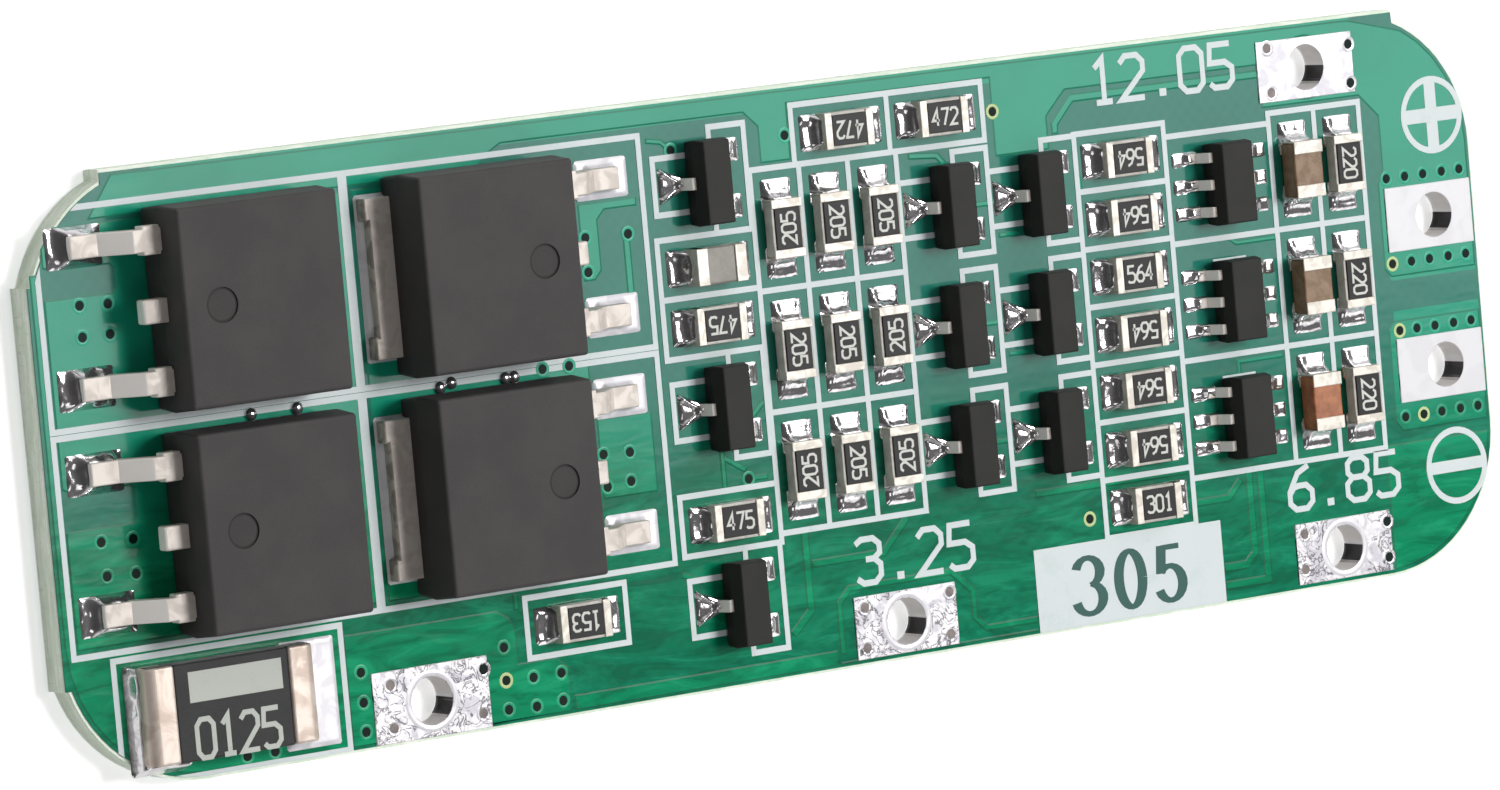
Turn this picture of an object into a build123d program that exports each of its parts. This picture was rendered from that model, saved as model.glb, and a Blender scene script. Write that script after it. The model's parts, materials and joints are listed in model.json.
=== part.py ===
"""Battery management board: power transistors, a shunt and three cell channels on one board.

Millimetres. The board lies flat, components up, with the origin at the centre of its
underside: +X runs along the length towards the output terminals, +Y across the width.
"""

import os
from math import atan2, tan

from build123d import *

os.makedirs("parts", exist_ok=True)

# Board layers, from the underside up
board_thickness = 1.0
mask_thickness = 0.04
land_thickness = 0.05
print_thickness = 0.02
mask_setback = 0.1

# Board outline: routed corners, and two edges snapped off along a scored line
corner_radius = 5.0
scored_top_overrun = 1.9
scored_left_overrun = 1.5
score_width = 0.09

# Printed frames
print_line = 0.2
print_gap = 0.24
print_gap_narrow = 0.15
frame_margin_left = 0.5
frame_margin_top = 1.1
frame_margin_bottom = 0.15
double_line_step_x = 0.14
double_line_step_y = 0.22

# Power transistors, with the leads pointing to -X in their own frame
fet_body_length = 6.2
fet_body_width = 6.7
fet_height = 2.3
fet_parting_height = 1.1
fet_draft = 0.1
fet_tab_reach = 0.95
fet_tab_width = 5.3
fet_tab_thickness = 0.5
fet_tab_ear_width = 0.75
fet_tab_ear_reach = 0.14
fet_tab_root = 1.9
fet_lead_pitch = 4.57
fet_lead_width = 0.76
fet_lead_shoulder_width = 0.95
fet_lead_shoulder_length = 0.65
fet_lead_thickness = 0.5
fet_lead_reach = 2.85
fet_lead_flat = 1.0
fet_lead_foot = 1.0
fet_lead_root = 0.7
fet_lead_exit_height = 1.35
fet_stub_reach = 0.85
fet_stub_width = 0.8
fet_mark_diameter = 1.15
fet_mark_depth = 0.05
fet_mark_offset = 1.6
fet_lead_land_margin = 0.65
fet_lead_land_length = 2.1
fet_lead_land_width = 1.35
fet_tab_land_margin = 0.2
fet_tab_land_width = 5.8
fet_side_gap = 0.09
fet_right_shift = 0.2

# Shunt
shunt_length = 6.4
shunt_width = 3.2
shunt_height = 1.0
shunt_band = 1.05
shunt_metal = 0.22
shunt_fold_radius = 0.42
shunt_coat_inset = 0.06
shunt_land_span = 7.95
shunt_land_length = 2.1
shunt_land_width = 3.6
shunt_shift = 0.5
shunt_raise = 0.15
shunt_frame_offset = 1.4
shunt_frame_gap = 0.27
shunt_side_gap = 0.2

# Small transistors, with the single lead pointing to -X in their own frame
sot_body_length = 2.9
sot_body_width = 1.34
sot_height = 1.1
sot_standoff = 0.05
sot_parting_height = 0.6
sot_draft_long = 0.14
sot_draft_end = 0.05
sot_lead_pitch = 1.9
sot_lead_width = 0.42
sot_lead_thickness = 0.13
sot_lead_reach = 0.55
sot_land_span = 3.2
sot_land_length = 0.9
sot_land_width = 0.8
sot_frame_gap = 0.18

# Six-lead monitor circuits
ic_body_width = 1.6
ic_lead_pitch = 0.95
ic_lead_width = 0.36
ic_lead_reach = 0.62
ic_land_span = 4.1
ic_land_length = 1.1
ic_land_width = 0.5
ic_frame_gap = 0.15
ic_drop = 0.12
ic_first_frame_trim = 0.35

# Chip resistors and capacitors
chip_length = 2.0
chip_width = 1.25
resistor_height = 0.55
capacitor_height = 0.85
end_cap_wall = 0.05
resistor_band = 0.3
capacitor_band = 0.45
glaze_inset = 0.1
chip_land_span = 3.36
chip_land_length = 1.13
chip_land_width = 1.25
chip_side_gap = 0.28
chip_end_gap = 0.2
channel_end_gap = 0.275
fillet_share = 0.6

# Column spacing and the rows of the three cell channels
column_gap = 0.4
row_gap = 1.05
top_pair_margin = 0.72
gate_block_drop = 0.22
filter_block_drop = 0.37
terminal_gap = 0.85
restart_frame_offset = 2.1
restart_frame_drop = 0.1

# Plated terminals
hole_diameter = 1.6
barrel_wall = 0.06
cell_land_length = 4.25
cell_land_width = 2.15
main_land_length = 4.5
main_land_width = 2.4
output_land_length = 3.86
output_land_width = 2.28
output_hole_shift = 0.2
output_spacing = 5.37
output_middle = -0.12
output_edge_margin = 0.2
cell_land_edge = 1.3
top_land_edge = 1.65
main_land_offset = 1.0
first_cell_offset = 1.22
filter_land_shift = 0.2

# Printed label field
label_length = 8.1
label_overhang = 1.05

# Copper fields that show through the mask
field_rim = 0.72
output_field_margin = 1.0

# Layer heights
mask_top = board_thickness + mask_thickness
seat = mask_top + land_thickness

# Frame sizes that follow from what each frame holds
fet_length = fet_lead_reach + fet_body_length + fet_tab_reach
fet_cell_length = fet_length + fet_lead_land_margin + fet_tab_land_margin + 2 * print_gap + print_line
fet_cell_width = fet_body_width + 2 * fet_side_gap + print_line
chip_cell_width = chip_land_width + 2 * chip_side_gap + print_line
chip_cell_length = chip_land_span + 2 * chip_end_gap + print_line
gate_cell_length = chip_land_span + 2 * print_gap_narrow + print_line
channel_pitch = chip_land_span + 2 * channel_end_gap + print_line
sot_cell_width = sot_land_span + 2 * sot_frame_gap + print_line
sot_cell_length = sot_body_length + 2 * print_gap + print_line
ic_cell_width = ic_land_span + 2 * ic_frame_gap + print_line
shunt_cell_length = shunt_land_span + 2 * shunt_side_gap + print_line
shunt_cell_width = shunt_land_width + 2 * print_gap_narrow + print_line

# Board size: the columns of frames side by side, and the transistor rows over the shunt
board_length = (
    frame_margin_left + 2 * fet_cell_length + double_line_step_x + column_gap + chip_cell_length
    + 3 * chip_cell_width + 2 * sot_cell_width + gate_cell_length + ic_cell_width
    + 2 * chip_cell_width + terminal_gap + output_land_length + output_edge_margin
)
board_width = (
    frame_margin_top + 2 * fet_cell_width + double_line_step_y + shunt_frame_gap
    + shunt_cell_width + frame_margin_bottom
)
left_edge = -board_length / 2
right_edge = board_length / 2
top_edge = board_width / 2
bottom_edge = -board_width / 2

# Columns from left to right: centre lines of the printed frames
fet_left_start = left_edge + frame_margin_left
fet_left_end = fet_left_start + fet_cell_length
fet_right_start = fet_left_end + double_line_step_x
fet_right_end = fet_right_start + fet_cell_length
driver_start = fet_right_end + column_gap
bleed_start = driver_start + chip_cell_length
switch_start = bleed_start + 3 * chip_cell_width
sense_start = switch_start + sot_cell_width
gate_start = sense_start + sot_cell_width
monitor_start = gate_start + gate_cell_length
filter_start = monitor_start + ic_cell_width
filter_end = filter_start + 2 * chip_cell_width
output_start = filter_end + terminal_gap

# Rows from the top edge down: centre lines of the printed frames
fet_top = top_edge - frame_margin_top
fet_upper_end = fet_top - fet_cell_width
fet_lower_start = fet_upper_end - double_line_step_y
fet_bottom = fet_lower_start - fet_cell_width
shunt_top = fet_bottom - shunt_frame_gap
shunt_bottom = shunt_top - shunt_cell_width
pair_top = top_edge - top_pair_margin
channel_top = pair_top - chip_cell_width
channel_bottom = channel_top - 3 * channel_pitch
gate_top = channel_top - gate_block_drop
gate_bottom = gate_top - 7 * chip_cell_width
filter_top = channel_top - filter_block_drop
filter_bottom = filter_top - 3 * channel_pitch
label_bottom = bottom_edge + mask_setback

# Node names of the three channels, from the top row down
channels = ["cell_3", "cell_2", "cell_1"]
channel_rows = [channel_top - (i + 0.5) * channel_pitch for i in range(3)]
filter_rows = [filter_top - (i + 0.5) * channel_pitch for i in range(3)]

EAST = (1, 0)
WEST = (-1, 0)
NORTH = (0, 1)

# Placements: node name, centre, and the way the part's leads or long axis point
fet_land_start = print_line / 2 + print_gap
fet_setback = fet_land_start + fet_lead_land_margin + fet_lead_reach + fet_body_length / 2
fet_x_left = fet_left_start + fet_setback
fet_x_right = fet_right_end - fet_setback - fet_right_shift
fet_y_upper = fet_top - fet_cell_width / 2
fet_y_lower = fet_lower_start - fet_cell_width / 2
fets = [
    ("charge_fet_upper", fet_x_left, fet_y_upper, WEST),
    ("charge_fet_lower", fet_x_left, fet_y_lower, WEST),
    ("discharge_fet_upper", fet_x_right, fet_y_upper, EAST),
    ("discharge_fet_lower", fet_x_right, fet_y_lower, EAST),
]

driver_x = driver_start + chip_cell_length / 2
driver_lines = [fet_top]
for cell in (sot_cell_length, chip_cell_width, chip_cell_width, sot_cell_length,
             row_gap, chip_cell_width, sot_cell_length):
    driver_lines.append(driver_lines[-1] - cell)
driver_rows = [(driver_lines[i] + driver_lines[i + 1]) / 2 for i in range(len(driver_lines) - 1)]

switch_x = switch_start + sot_cell_width / 2
sense_x = sense_start + sot_cell_width / 2
transistors = [
    ("driver_transistor_upper", driver_x, driver_rows[0]),
    ("driver_transistor_middle", driver_x, driver_rows[3]),
    ("driver_transistor_lower", driver_x, driver_rows[6]),
]
for channel, y in zip(channels, channel_rows):
    transistors.append((f"{channel}_switch_transistor", switch_x, y))
    transistors.append((f"{channel}_sense_transistor", sense_x, y))

monitor_x = monitor_start + ic_cell_width / 2
monitors = [(f"{channel}_monitor_ic", monitor_x, y - ic_drop) for channel, y in zip(channels, filter_rows)]

pair_start = sense_start - 2 * chip_cell_length
pair_y = pair_top - chip_cell_width / 2
gate_x = gate_start + gate_cell_length / 2
filter_x = filter_start + chip_cell_width / 2
restart_start = fet_right_end - restart_frame_offset - chip_cell_length
restart_top = shunt_top - restart_frame_drop
resistors = [
    ("bias_resistor_left", pair_start + chip_cell_length / 2, pair_y, EAST),
    ("bias_resistor_right", pair_start + 1.5 * chip_cell_length, pair_y, EAST),
    ("hold_resistor_upper", driver_x, driver_rows[2], EAST),
    ("hold_resistor_lower", driver_x, driver_rows[5], EAST),
    ("restart_resistor", restart_start + chip_cell_length / 2, restart_top - chip_cell_width / 2, EAST),
    ("output_resistor", gate_x, gate_top - 6.5 * chip_cell_width, EAST),
]
capacitors = [("gate_capacitor", driver_x, driver_rows[1], EAST)]
for i, channel in enumerate(channels):
    for k in range(3):
        bleed_x = bleed_start + (k + 0.5) * chip_cell_width
        resistors.append((f"{channel}_bleed_resistor_{k + 1}", bleed_x, channel_rows[i], NORTH))
    for k, place in enumerate(("upper", "lower")):
        gate_y = gate_top - (2 * i + k + 0.5) * chip_cell_width
        resistors.append((f"{channel}_gate_resistor_{place}", gate_x, gate_y, EAST))
    resistors.append((f"{channel}_filter_resistor", filter_x + chip_cell_width, filter_rows[i], NORTH))
    capacitors.append((f"{channel}_filter_capacitor", filter_x, filter_rows[i], NORTH))

shunt_start = fet_left_start + shunt_frame_offset
shunt_end = shunt_start + shunt_cell_length
shunt_middle = (shunt_start + shunt_end) / 2
shunt_x = shunt_middle - shunt_shift
shunt_middle_y = (shunt_top + shunt_bottom) / 2
shunt_y = shunt_middle_y + shunt_raise

# Terminals: land centre, land size, hole centre along X
filter_middle = filter_start + chip_cell_width - filter_land_shift
main_x = shunt_end + main_land_offset + main_land_length / 2
first_x = switch_start - first_cell_offset
low_y = bottom_edge + cell_land_edge
high_y = top_edge - top_land_edge
output_x = output_start + output_land_length / 2
output_hole_x = output_x + output_hole_shift
cell_terminals = [
    (main_x, low_y, main_land_length, main_land_width, main_x),
    (first_x, low_y, cell_land_length, cell_land_width, first_x),
    (filter_middle, low_y, cell_land_length, cell_land_width, filter_middle),
    (filter_middle, high_y, cell_land_length, cell_land_width, filter_middle),
]
output_terminals = [
    (output_x, output_middle + output_spacing / 2, output_land_length, output_land_width, output_hole_x),
    (output_x, output_middle - output_spacing / 2, output_land_length, output_land_width, output_hole_x),
]
holes = [(hole_x, y) for _, y, _, _, hole_x in cell_terminals + output_terminals]

label_x = gate_start + gate_cell_length + label_overhang - label_length / 2


def side_plane(x, y, z, way):
    """Upright plane through a part's middle: sketch X points along way, sketch Y points up."""
    return Plane(origin=(x, y, z), x_dir=(way[0], way[1], 0), z_dir=(way[1], -way[0], 0))


def floor_plane(x, y, z, way=EAST):
    """Level plane with sketch X along way."""
    return Plane(origin=(x, y, z), x_dir=(way[0], way[1], 0), z_dir=(0, 0, 1))


def board_outline(inset):
    """Board outline in the open sketch, moved inwards by inset, with the snapped-off edges."""
    RectangleRounded(board_length - 2 * inset, board_width - 2 * inset, corner_radius - inset)
    straight_x = board_length - 2 * corner_radius + 2 * scored_top_overrun
    straight_y = board_width - 2 * corner_radius + 2 * scored_left_overrun
    with Locations((0, (top_edge - inset) / 2)):
        Rectangle(straight_x, top_edge - inset)
    with Locations(((left_edge + inset) / 2, 0)):
        Rectangle(right_edge - inset, straight_y)


# Laminate: two edges are scored and snapped off, and stand past the routed corners
with BuildPart() as circuit_board:
    with BuildSketch():
        board_outline(0)
    extrude(amount=board_thickness)
    level_edges = circuit_board.edges().filter_by(Axis.Z, reverse=True).filter_by(GeomType.LINE)
    scored_top = level_edges.filter_by(Axis.X).group_by(Axis.Y)[-1]
    scored_left = level_edges.filter_by(Axis.Y).group_by(Axis.X)[0]
    chamfer(scored_top + scored_left, length=score_width)
    with BuildSketch():
        with Locations(*holes):
            Circle(hole_diameter / 2 + barrel_wall)
    extrude(amount=board_thickness, mode=Mode.SUBTRACT)
circuit_board.part.label = "circuit_board"
export_step(circuit_board.part, "parts/circuit_board.step")

# Masked copper: the pours and tracks that show as lighter fields, level with the mask
with BuildPart() as copper_tracks:
    with BuildSketch(Plane.XY.offset(board_thickness)) as copper_fields:
        with Locations((0, top_edge - mask_setback - field_rim / 2)):
            Rectangle(board_length - 2 * corner_radius, field_rim)
        for x, y, length, width, _ in output_terminals:
            with Locations((x, y)):
                Rectangle(length, width + 2 * output_field_margin)
        for x, y, length, width, _ in cell_terminals + output_terminals:
            with Locations((x, y)):
                Rectangle(length, width, mode=Mode.SUBTRACT)
    extrude(amount=mask_thickness)
copper_tracks.part.label = "copper_tracks"
export_step(copper_tracks.part, "parts/copper_tracks.step")

# Solder mask over the bare laminate
with BuildPart() as solder_mask:
    with BuildSketch(Plane.XY.offset(board_thickness)):
        board_outline(mask_setback)
        add(copper_fields.sketch_local, mode=Mode.SUBTRACT)
        for x, y, length, width, _ in cell_terminals + output_terminals:
            with Locations((x, y)):
                Rectangle(length, width, mode=Mode.SUBTRACT)
    extrude(amount=mask_thickness)
solder_mask.part.label = "solder_mask"
export_step(solder_mask.part, "parts/solder_mask.step")


def print_grid(x_start, x_step, columns, y_start, y_step, rows):
    """Printed grid of frames that share their lines, from centre line to centre line."""
    width = columns * x_step
    height = rows * y_step
    with Locations((x_start + width / 2, y_start - height / 2)):
        Rectangle(width + print_line, height + print_line)
        with GridLocations(x_step, y_step, columns, rows):
            Rectangle(x_step - print_line, y_step - print_line, mode=Mode.SUBTRACT)


def print_transistor(x, y):
    """Outline of a small transistor: a box round its two leads, a bracket by the third."""
    bracket_start = x - sot_cell_width / 2
    box_end = x + sot_cell_width / 2
    box_start = x + sot_land_span / 2 - sot_land_length - print_gap
    with Locations(((bracket_start + box_start) / 2, y)):
        with GridLocations(0, sot_lead_pitch, 1, 2):
            Rectangle(box_start - bracket_start, print_line)
    with Locations((bracket_start, y)):
        Rectangle(print_line, sot_lead_pitch + print_line)
    print_grid(box_start, box_end - box_start, 1, y + sot_cell_length / 2, sot_cell_length, 1)


# Printed legend: the frames round the parts and a blank label field
with BuildPart() as legend:
    with BuildSketch(Plane.XY.offset(mask_top)):
        for x_start in (fet_left_start, fet_right_start):
            for y_start in (fet_top, fet_lower_start):
                print_grid(x_start, fet_cell_length, 1, y_start, fet_cell_width, 1)
        print_grid(shunt_start, shunt_cell_length, 1, shunt_top, shunt_cell_width, 1)
        print_grid(restart_start, chip_cell_length, 1, restart_top, chip_cell_width, 1)
        print_grid(pair_start, chip_cell_length, 2, pair_top, chip_cell_width, 1)
        print_grid(bleed_start, chip_cell_width, 3, channel_top, channel_pitch, 3)
        print_grid(driver_start, chip_cell_length, 1, driver_lines[1], chip_cell_width, 2)
        print_grid(driver_start, chip_cell_length, 1, driver_lines[5], chip_cell_width, 1)
        for name, x, y in transistors:
            print_transistor(x, y)
        print_grid(gate_start, gate_cell_length, 1, gate_top, chip_cell_width, 7)
        first_height = channel_pitch - ic_first_frame_trim
        print_grid(monitor_start, ic_cell_width, 1, filter_top - ic_first_frame_trim, first_height, 1)
        print_grid(monitor_start, ic_cell_width, 1, filter_top - channel_pitch, channel_pitch, 2)
        print_grid(filter_start, chip_cell_width, 2, filter_top, channel_pitch, 3)
        with Locations((label_x, (gate_bottom + label_bottom) / 2)):
            Rectangle(label_length, gate_bottom - label_bottom)
        with BuildSketch(Plane.XY.offset(mask_top), mode=Mode.INTERSECT):
            board_outline(mask_setback)
    extrude(amount=print_thickness)
legend.part.label = "legend"
export_step(legend.part, "parts/legend.step")


def build_terminals(rows):
    """Tinned lands in windows of the mask, each with a plated barrel through the board."""
    with BuildPart() as terminals:
        for x, y, length, width, hole_x in rows:
            with BuildSketch(floor_plane(x, y, board_thickness)):
                Rectangle(length, width)
        extrude(amount=seat - board_thickness)
        with BuildSketch():
            with Locations(*[(hole_x, y) for x, y, length, width, hole_x in rows]):
                Circle(hole_diameter / 2 + barrel_wall)
        extrude(amount=board_thickness)
        with BuildSketch():
            with Locations(*[(hole_x, y) for x, y, length, width, hole_x in rows]):
                Circle(hole_diameter / 2)
        extrude(amount=seat, mode=Mode.SUBTRACT)
    return terminals


for name, rows in (("cell_terminals", cell_terminals), ("charge_load_terminals", output_terminals)):
    terminals = build_terminals(rows)
    terminals.part.label = name
    export_step(terminals.part, f"parts/{name}.step")


def turned(x, y, way, outwards, sideways=0):
    """Point at this distance along way and to its left."""
    return x + way[0] * outwards - way[1] * sideways, y + way[1] * outwards + way[0] * sideways


def opposite(way):
    """The way round the other side."""
    return -way[0], -way[1]


def gull_lead(root, shoulder, foot, tip, exit_height, thickness):
    """Side view of a bent lead: out of the body, down a slope and along the land."""
    bend = atan2(exit_height - thickness, foot - shoulder)
    mitre = thickness * tan(bend / 2)
    return [
        (root, exit_height - thickness), (root, exit_height), (shoulder, exit_height),
        (foot, thickness), (tip, thickness), (tip, 0),
        (foot - mitre, 0), (shoulder - mitre, exit_height - thickness),
    ]


def end_cap(height, band):
    """Side view of a wrapped end: a channel over, round and under the end of a chip."""
    half = chip_length / 2
    inner = half - end_cap_wall
    return [
        (half, 0), (half, height), (half - band, height), (half - band, height - end_cap_wall),
        (inner, height - end_cap_wall), (inner, end_cap_wall), (half - band, end_cap_wall),
        (half - band, 0),
    ]


def joint(start, wetted, end, climb):
    """Side view of solder on a land: level to the wetted end of the lead, then falling away."""
    return [
        (start, 0), (start, land_thickness), (wetted, land_thickness),
        (wetted, land_thickness + climb), (end, land_thickness / 2), (end, 0),
    ]


# Power transistors: the drain tab and its cut centre lead are one piece of metal
fet_half = fet_body_length / 2
fet_tip = fet_half + fet_lead_reach
fet_tab_end = fet_half + fet_tab_reach
fet_tab_face = fet_tab_end - fet_tab_ear_reach
fet_stub_end = fet_half + fet_stub_reach
fet_lead_underside = fet_lead_exit_height - fet_lead_thickness
with BuildPart() as fet_drain_tabs:
    for name, x, y, way in fets:
        with BuildSketch(floor_plane(x, y, seat, opposite(way))):
            with Locations(((fet_tab_face - fet_tab_root) / 2, 0)):
                Rectangle(fet_tab_face + fet_tab_root, fet_tab_width)
            with Locations((fet_tab_face, 0)):
                with GridLocations(0, fet_tab_width - fet_tab_ear_width, 1, 2):
                    Rectangle(2 * fet_tab_ear_reach, fet_tab_ear_width)
    extrude(amount=fet_tab_thickness)
    for name, x, y, way in fets:
        with BuildSketch(side_plane(x, y, seat, way)):
            Polygon(
                (fet_tab_root - fet_tab_thickness, 0),
                (fet_tab_root - fet_tab_thickness, fet_tab_thickness),
                (fet_tab_root, fet_lead_exit_height), (fet_stub_end, fet_lead_exit_height),
                (fet_stub_end, fet_lead_underside), (fet_tab_root + fet_tab_thickness, fet_lead_underside),
                (fet_tab_root, 0),
                align=None,
            )
    extrude(amount=fet_stub_width / 2, both=True)
fet_drain_tabs.part.label = "fet_drain_tabs"
export_step(fet_drain_tabs.part, "parts/fet_drain_tabs.step")

fet_lead_profile = gull_lead(fet_half - fet_lead_root, fet_half + fet_lead_flat, fet_tip - fet_lead_foot,
                             fet_tip, fet_lead_exit_height, fet_lead_thickness)
fet_lead_places = [
    (*turned(x, y, way, 0, side * fet_lead_pitch / 2), way) for name, x, y, way in fets for side in (-1, 1)
]
with BuildPart() as fet_leads:
    for x, y, way in fet_lead_places:
        with BuildSketch(side_plane(x, y, seat, way)):
            Polygon(*fet_lead_profile, align=None)
    extrude(amount=fet_lead_width / 2, both=True)
    for x, y, way in fet_lead_places:
        with BuildSketch(floor_plane(x, y, seat + fet_lead_underside, way)):
            with Locations((fet_half + fet_lead_shoulder_length / 2, 0)):
                Rectangle(fet_lead_shoulder_length, fet_lead_shoulder_width)
    extrude(amount=fet_lead_thickness)
fet_leads.part.label = "fet_leads"
export_step(fet_leads.part, "parts/fet_leads.step")

# Their moulded bodies: drafted both ways from the parting line, with a round mark on top
fet_lower_draft = fet_draft * fet_parting_height / (fet_height - fet_parting_height)
fet_sections = [(0, fet_lower_draft), (fet_parting_height, 0), (fet_height, fet_draft)]
for name, x, y, way in fets:
    with BuildPart() as body:
        for height, draft in fet_sections:
            with BuildSketch(floor_plane(x, y, seat + height, way)):
                Rectangle(fet_body_length - 2 * draft, fet_body_width - 2 * draft)
        loft(ruled=True)
        with BuildSketch(floor_plane(*turned(x, y, way, fet_mark_offset), seat + fet_height)):
            Circle(fet_mark_diameter / 2)
        extrude(amount=-fet_mark_depth, mode=Mode.SUBTRACT)
        add(fet_drain_tabs.part, mode=Mode.SUBTRACT)
        add(fet_leads.part, mode=Mode.SUBTRACT)
    body.part.label = name
    export_step(body.part, f"parts/{name}.step")

# Shunt: a coated strip inside two folded terminals
shunt_half = shunt_length / 2
shunt_band_end = shunt_half - shunt_band
with BuildPart() as shunt_terminals:
    for way in (EAST, WEST):
        with BuildSketch(side_plane(shunt_x, shunt_y, seat, way)) as fold:
            Polygon(
                (shunt_half, 0), (shunt_half, shunt_height), (shunt_band_end, shunt_height),
                (shunt_band_end, shunt_height - shunt_metal),
                (shunt_half - shunt_metal, shunt_height - shunt_metal),
                (shunt_half - shunt_metal, shunt_metal), (shunt_band_end, shunt_metal), (shunt_band_end, 0),
                align=None,
            )
            fillet(fold.vertices().group_by(Axis.X)[-1], shunt_fold_radius)
    extrude(amount=shunt_width / 2, both=True)
shunt_terminals.part.label = "shunt_terminals"
export_step(shunt_terminals.part, "parts/shunt_terminals.step")

with BuildPart() as shunt_body:
    with BuildSketch(side_plane(shunt_x, shunt_y, seat, EAST)):
        with Locations((0, shunt_height / 2)):
            Rectangle(2 * (shunt_half - shunt_metal), shunt_height - 2 * shunt_metal)
            Rectangle(2 * shunt_band_end, shunt_height - 2 * shunt_coat_inset)
    extrude(amount=shunt_width / 2, both=True)
shunt_body.part.label = "shunt_body"
export_step(shunt_body.part, "parts/shunt_body.step")

# Leads of the small packages: one on each transistor's left, two on its right, three a side on a circuit
sot_exit_height = sot_parting_height + sot_lead_thickness / 2
sot_half = sot_body_width / 2
ic_half = ic_body_width / 2
sot_tip = sot_half + sot_lead_reach
ic_tip = ic_half + ic_lead_reach
sot_lead_profile = gull_lead(sot_half - sot_lead_reach / 2, sot_half + sot_lead_thickness,
                             sot_tip - sot_lead_reach / 2, sot_tip, sot_exit_height, sot_lead_thickness)
ic_lead_profile = gull_lead(ic_half - ic_lead_reach / 2, ic_half + sot_lead_thickness,
                            ic_tip - ic_lead_reach / 2, ic_tip, sot_exit_height, sot_lead_thickness)
sot_lead_places = [
    (x, y + step * sot_lead_pitch, way)
    for name, x, y in transistors for way, step in ((WEST, 0), (EAST, -0.5), (EAST, 0.5))
]
ic_lead_places = [
    (x, y + step * ic_lead_pitch, way)
    for name, x, y in monitors for way in (WEST, EAST) for step in (-1, 0, 1)
]
with BuildPart() as transistor_leads:
    for x, y, way in sot_lead_places:
        with BuildSketch(side_plane(x, y, seat, way)):
            Polygon(*sot_lead_profile, align=None)
    extrude(amount=sot_lead_width / 2, both=True)
transistor_leads.part.label = "transistor_leads"
export_step(transistor_leads.part, "parts/transistor_leads.step")

with BuildPart() as monitor_ic_leads:
    for x, y, way in ic_lead_places:
        with BuildSketch(side_plane(x, y, seat, way)):
            Polygon(*ic_lead_profile, align=None)
    extrude(amount=ic_lead_width / 2, both=True)
monitor_ic_leads.part.label = "monitor_ic_leads"
export_step(monitor_ic_leads.part, "parts/monitor_ic_leads.step")

# Moulded bodies of the small packages: height, and the draft across and at the ends
sot_sections = [
    (sot_standoff, sot_draft_end, sot_draft_end),
    (sot_parting_height, 0, 0),
    (sot_height, sot_draft_long, sot_draft_end),
]
packages = [(name, x, y, sot_body_width, transistor_leads) for name, x, y in transistors]
packages += [(name, x, y, ic_body_width, monitor_ic_leads) for name, x, y in monitors]
for name, x, y, width, leads in packages:
    with BuildPart() as body:
        for height, draft_across, draft_ends in sot_sections:
            with BuildSketch(floor_plane(x, y, seat + height)):
                Rectangle(width - 2 * draft_across, sot_body_length - 2 * draft_ends)
        loft(ruled=True)
        add(leads.part, mode=Mode.SUBTRACT)
    body.part.label = name
    export_step(body.part, f"parts/{name}.step")

# Chip resistors: a ceramic block inside the wrapped ends, with a raised glaze between them
for name, x, y, way in resistors:
    with BuildPart() as chip:
        with BuildSketch(floor_plane(x, y, seat + end_cap_wall, way)):
            Rectangle(chip_length - 2 * end_cap_wall, chip_width)
        extrude(amount=resistor_height - 2 * end_cap_wall)
        with BuildSketch(floor_plane(x, y, seat + resistor_height - end_cap_wall, way)):
            Rectangle(chip_length - 2 * resistor_band, chip_width - 2 * glaze_inset)
        extrude(amount=end_cap_wall)
    chip.part.label = name
    export_step(chip.part, f"parts/{name}.step")

# Chip capacitors: a plain ceramic block inside the wrapped ends
for name, x, y, way in capacitors:
    with BuildPart() as chip:
        with BuildSketch(floor_plane(x, y, seat + end_cap_wall, way)):
            Rectangle(chip_length - 2 * end_cap_wall, chip_width)
        extrude(amount=capacitor_height - 2 * end_cap_wall)
    chip.part.label = name
    export_step(chip.part, f"parts/{name}.step")

with BuildPart() as chip_end_caps:
    for rows, profile in (
        (resistors, end_cap(resistor_height, resistor_band)),
        (capacitors, end_cap(capacitor_height, capacitor_band)),
    ):
        for name, x, y, way in rows:
            for side in (way, opposite(way)):
                with BuildSketch(side_plane(x, y, seat, side)):
                    Polygon(*profile, align=None)
    extrude(amount=chip_width / 2, both=True)
chip_end_caps.part.label = "chip_end_caps"
export_step(chip_end_caps.part, "parts/chip_end_caps.step")

# Solder: each land with the joint that climbs the lead on it. Rows of (places, profile, width)
chip_half = chip_length / 2
chip_land_end = chip_land_span / 2
fet_land_end = fet_tip + fet_lead_land_margin
fet_tab_land_end = fet_tab_end + fet_tab_land_margin
chip_ends = [
    [(x, y, side) for name, x, y, way in rows for side in (way, opposite(way))]
    for rows in (resistors, capacitors)
]
joints = [
    (chip_ends[0], joint(chip_land_end - chip_land_length, chip_half, chip_land_end,
                         fillet_share * resistor_height), chip_land_width),
    (chip_ends[1], joint(chip_land_end - chip_land_length, chip_half, chip_land_end,
                         fillet_share * capacitor_height), chip_land_width),
    (sot_lead_places, joint(sot_land_span / 2 - sot_land_length, sot_tip, sot_land_span / 2,
                            sot_lead_thickness), sot_land_width),
    (ic_lead_places, joint(ic_land_span / 2 - ic_land_length, ic_tip, ic_land_span / 2,
                           sot_lead_thickness), ic_land_width),
    (fet_lead_places, joint(fet_land_end - fet_lead_land_length, fet_tip, fet_land_end,
                            fillet_share * fet_lead_thickness), fet_lead_land_width),
    ([(x, y, opposite(way)) for name, x, y, way in fets],
     joint(-fet_tab_root, fet_tab_face, fet_tab_land_end, fillet_share * fet_tab_thickness),
     fet_tab_land_width),
]
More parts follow.
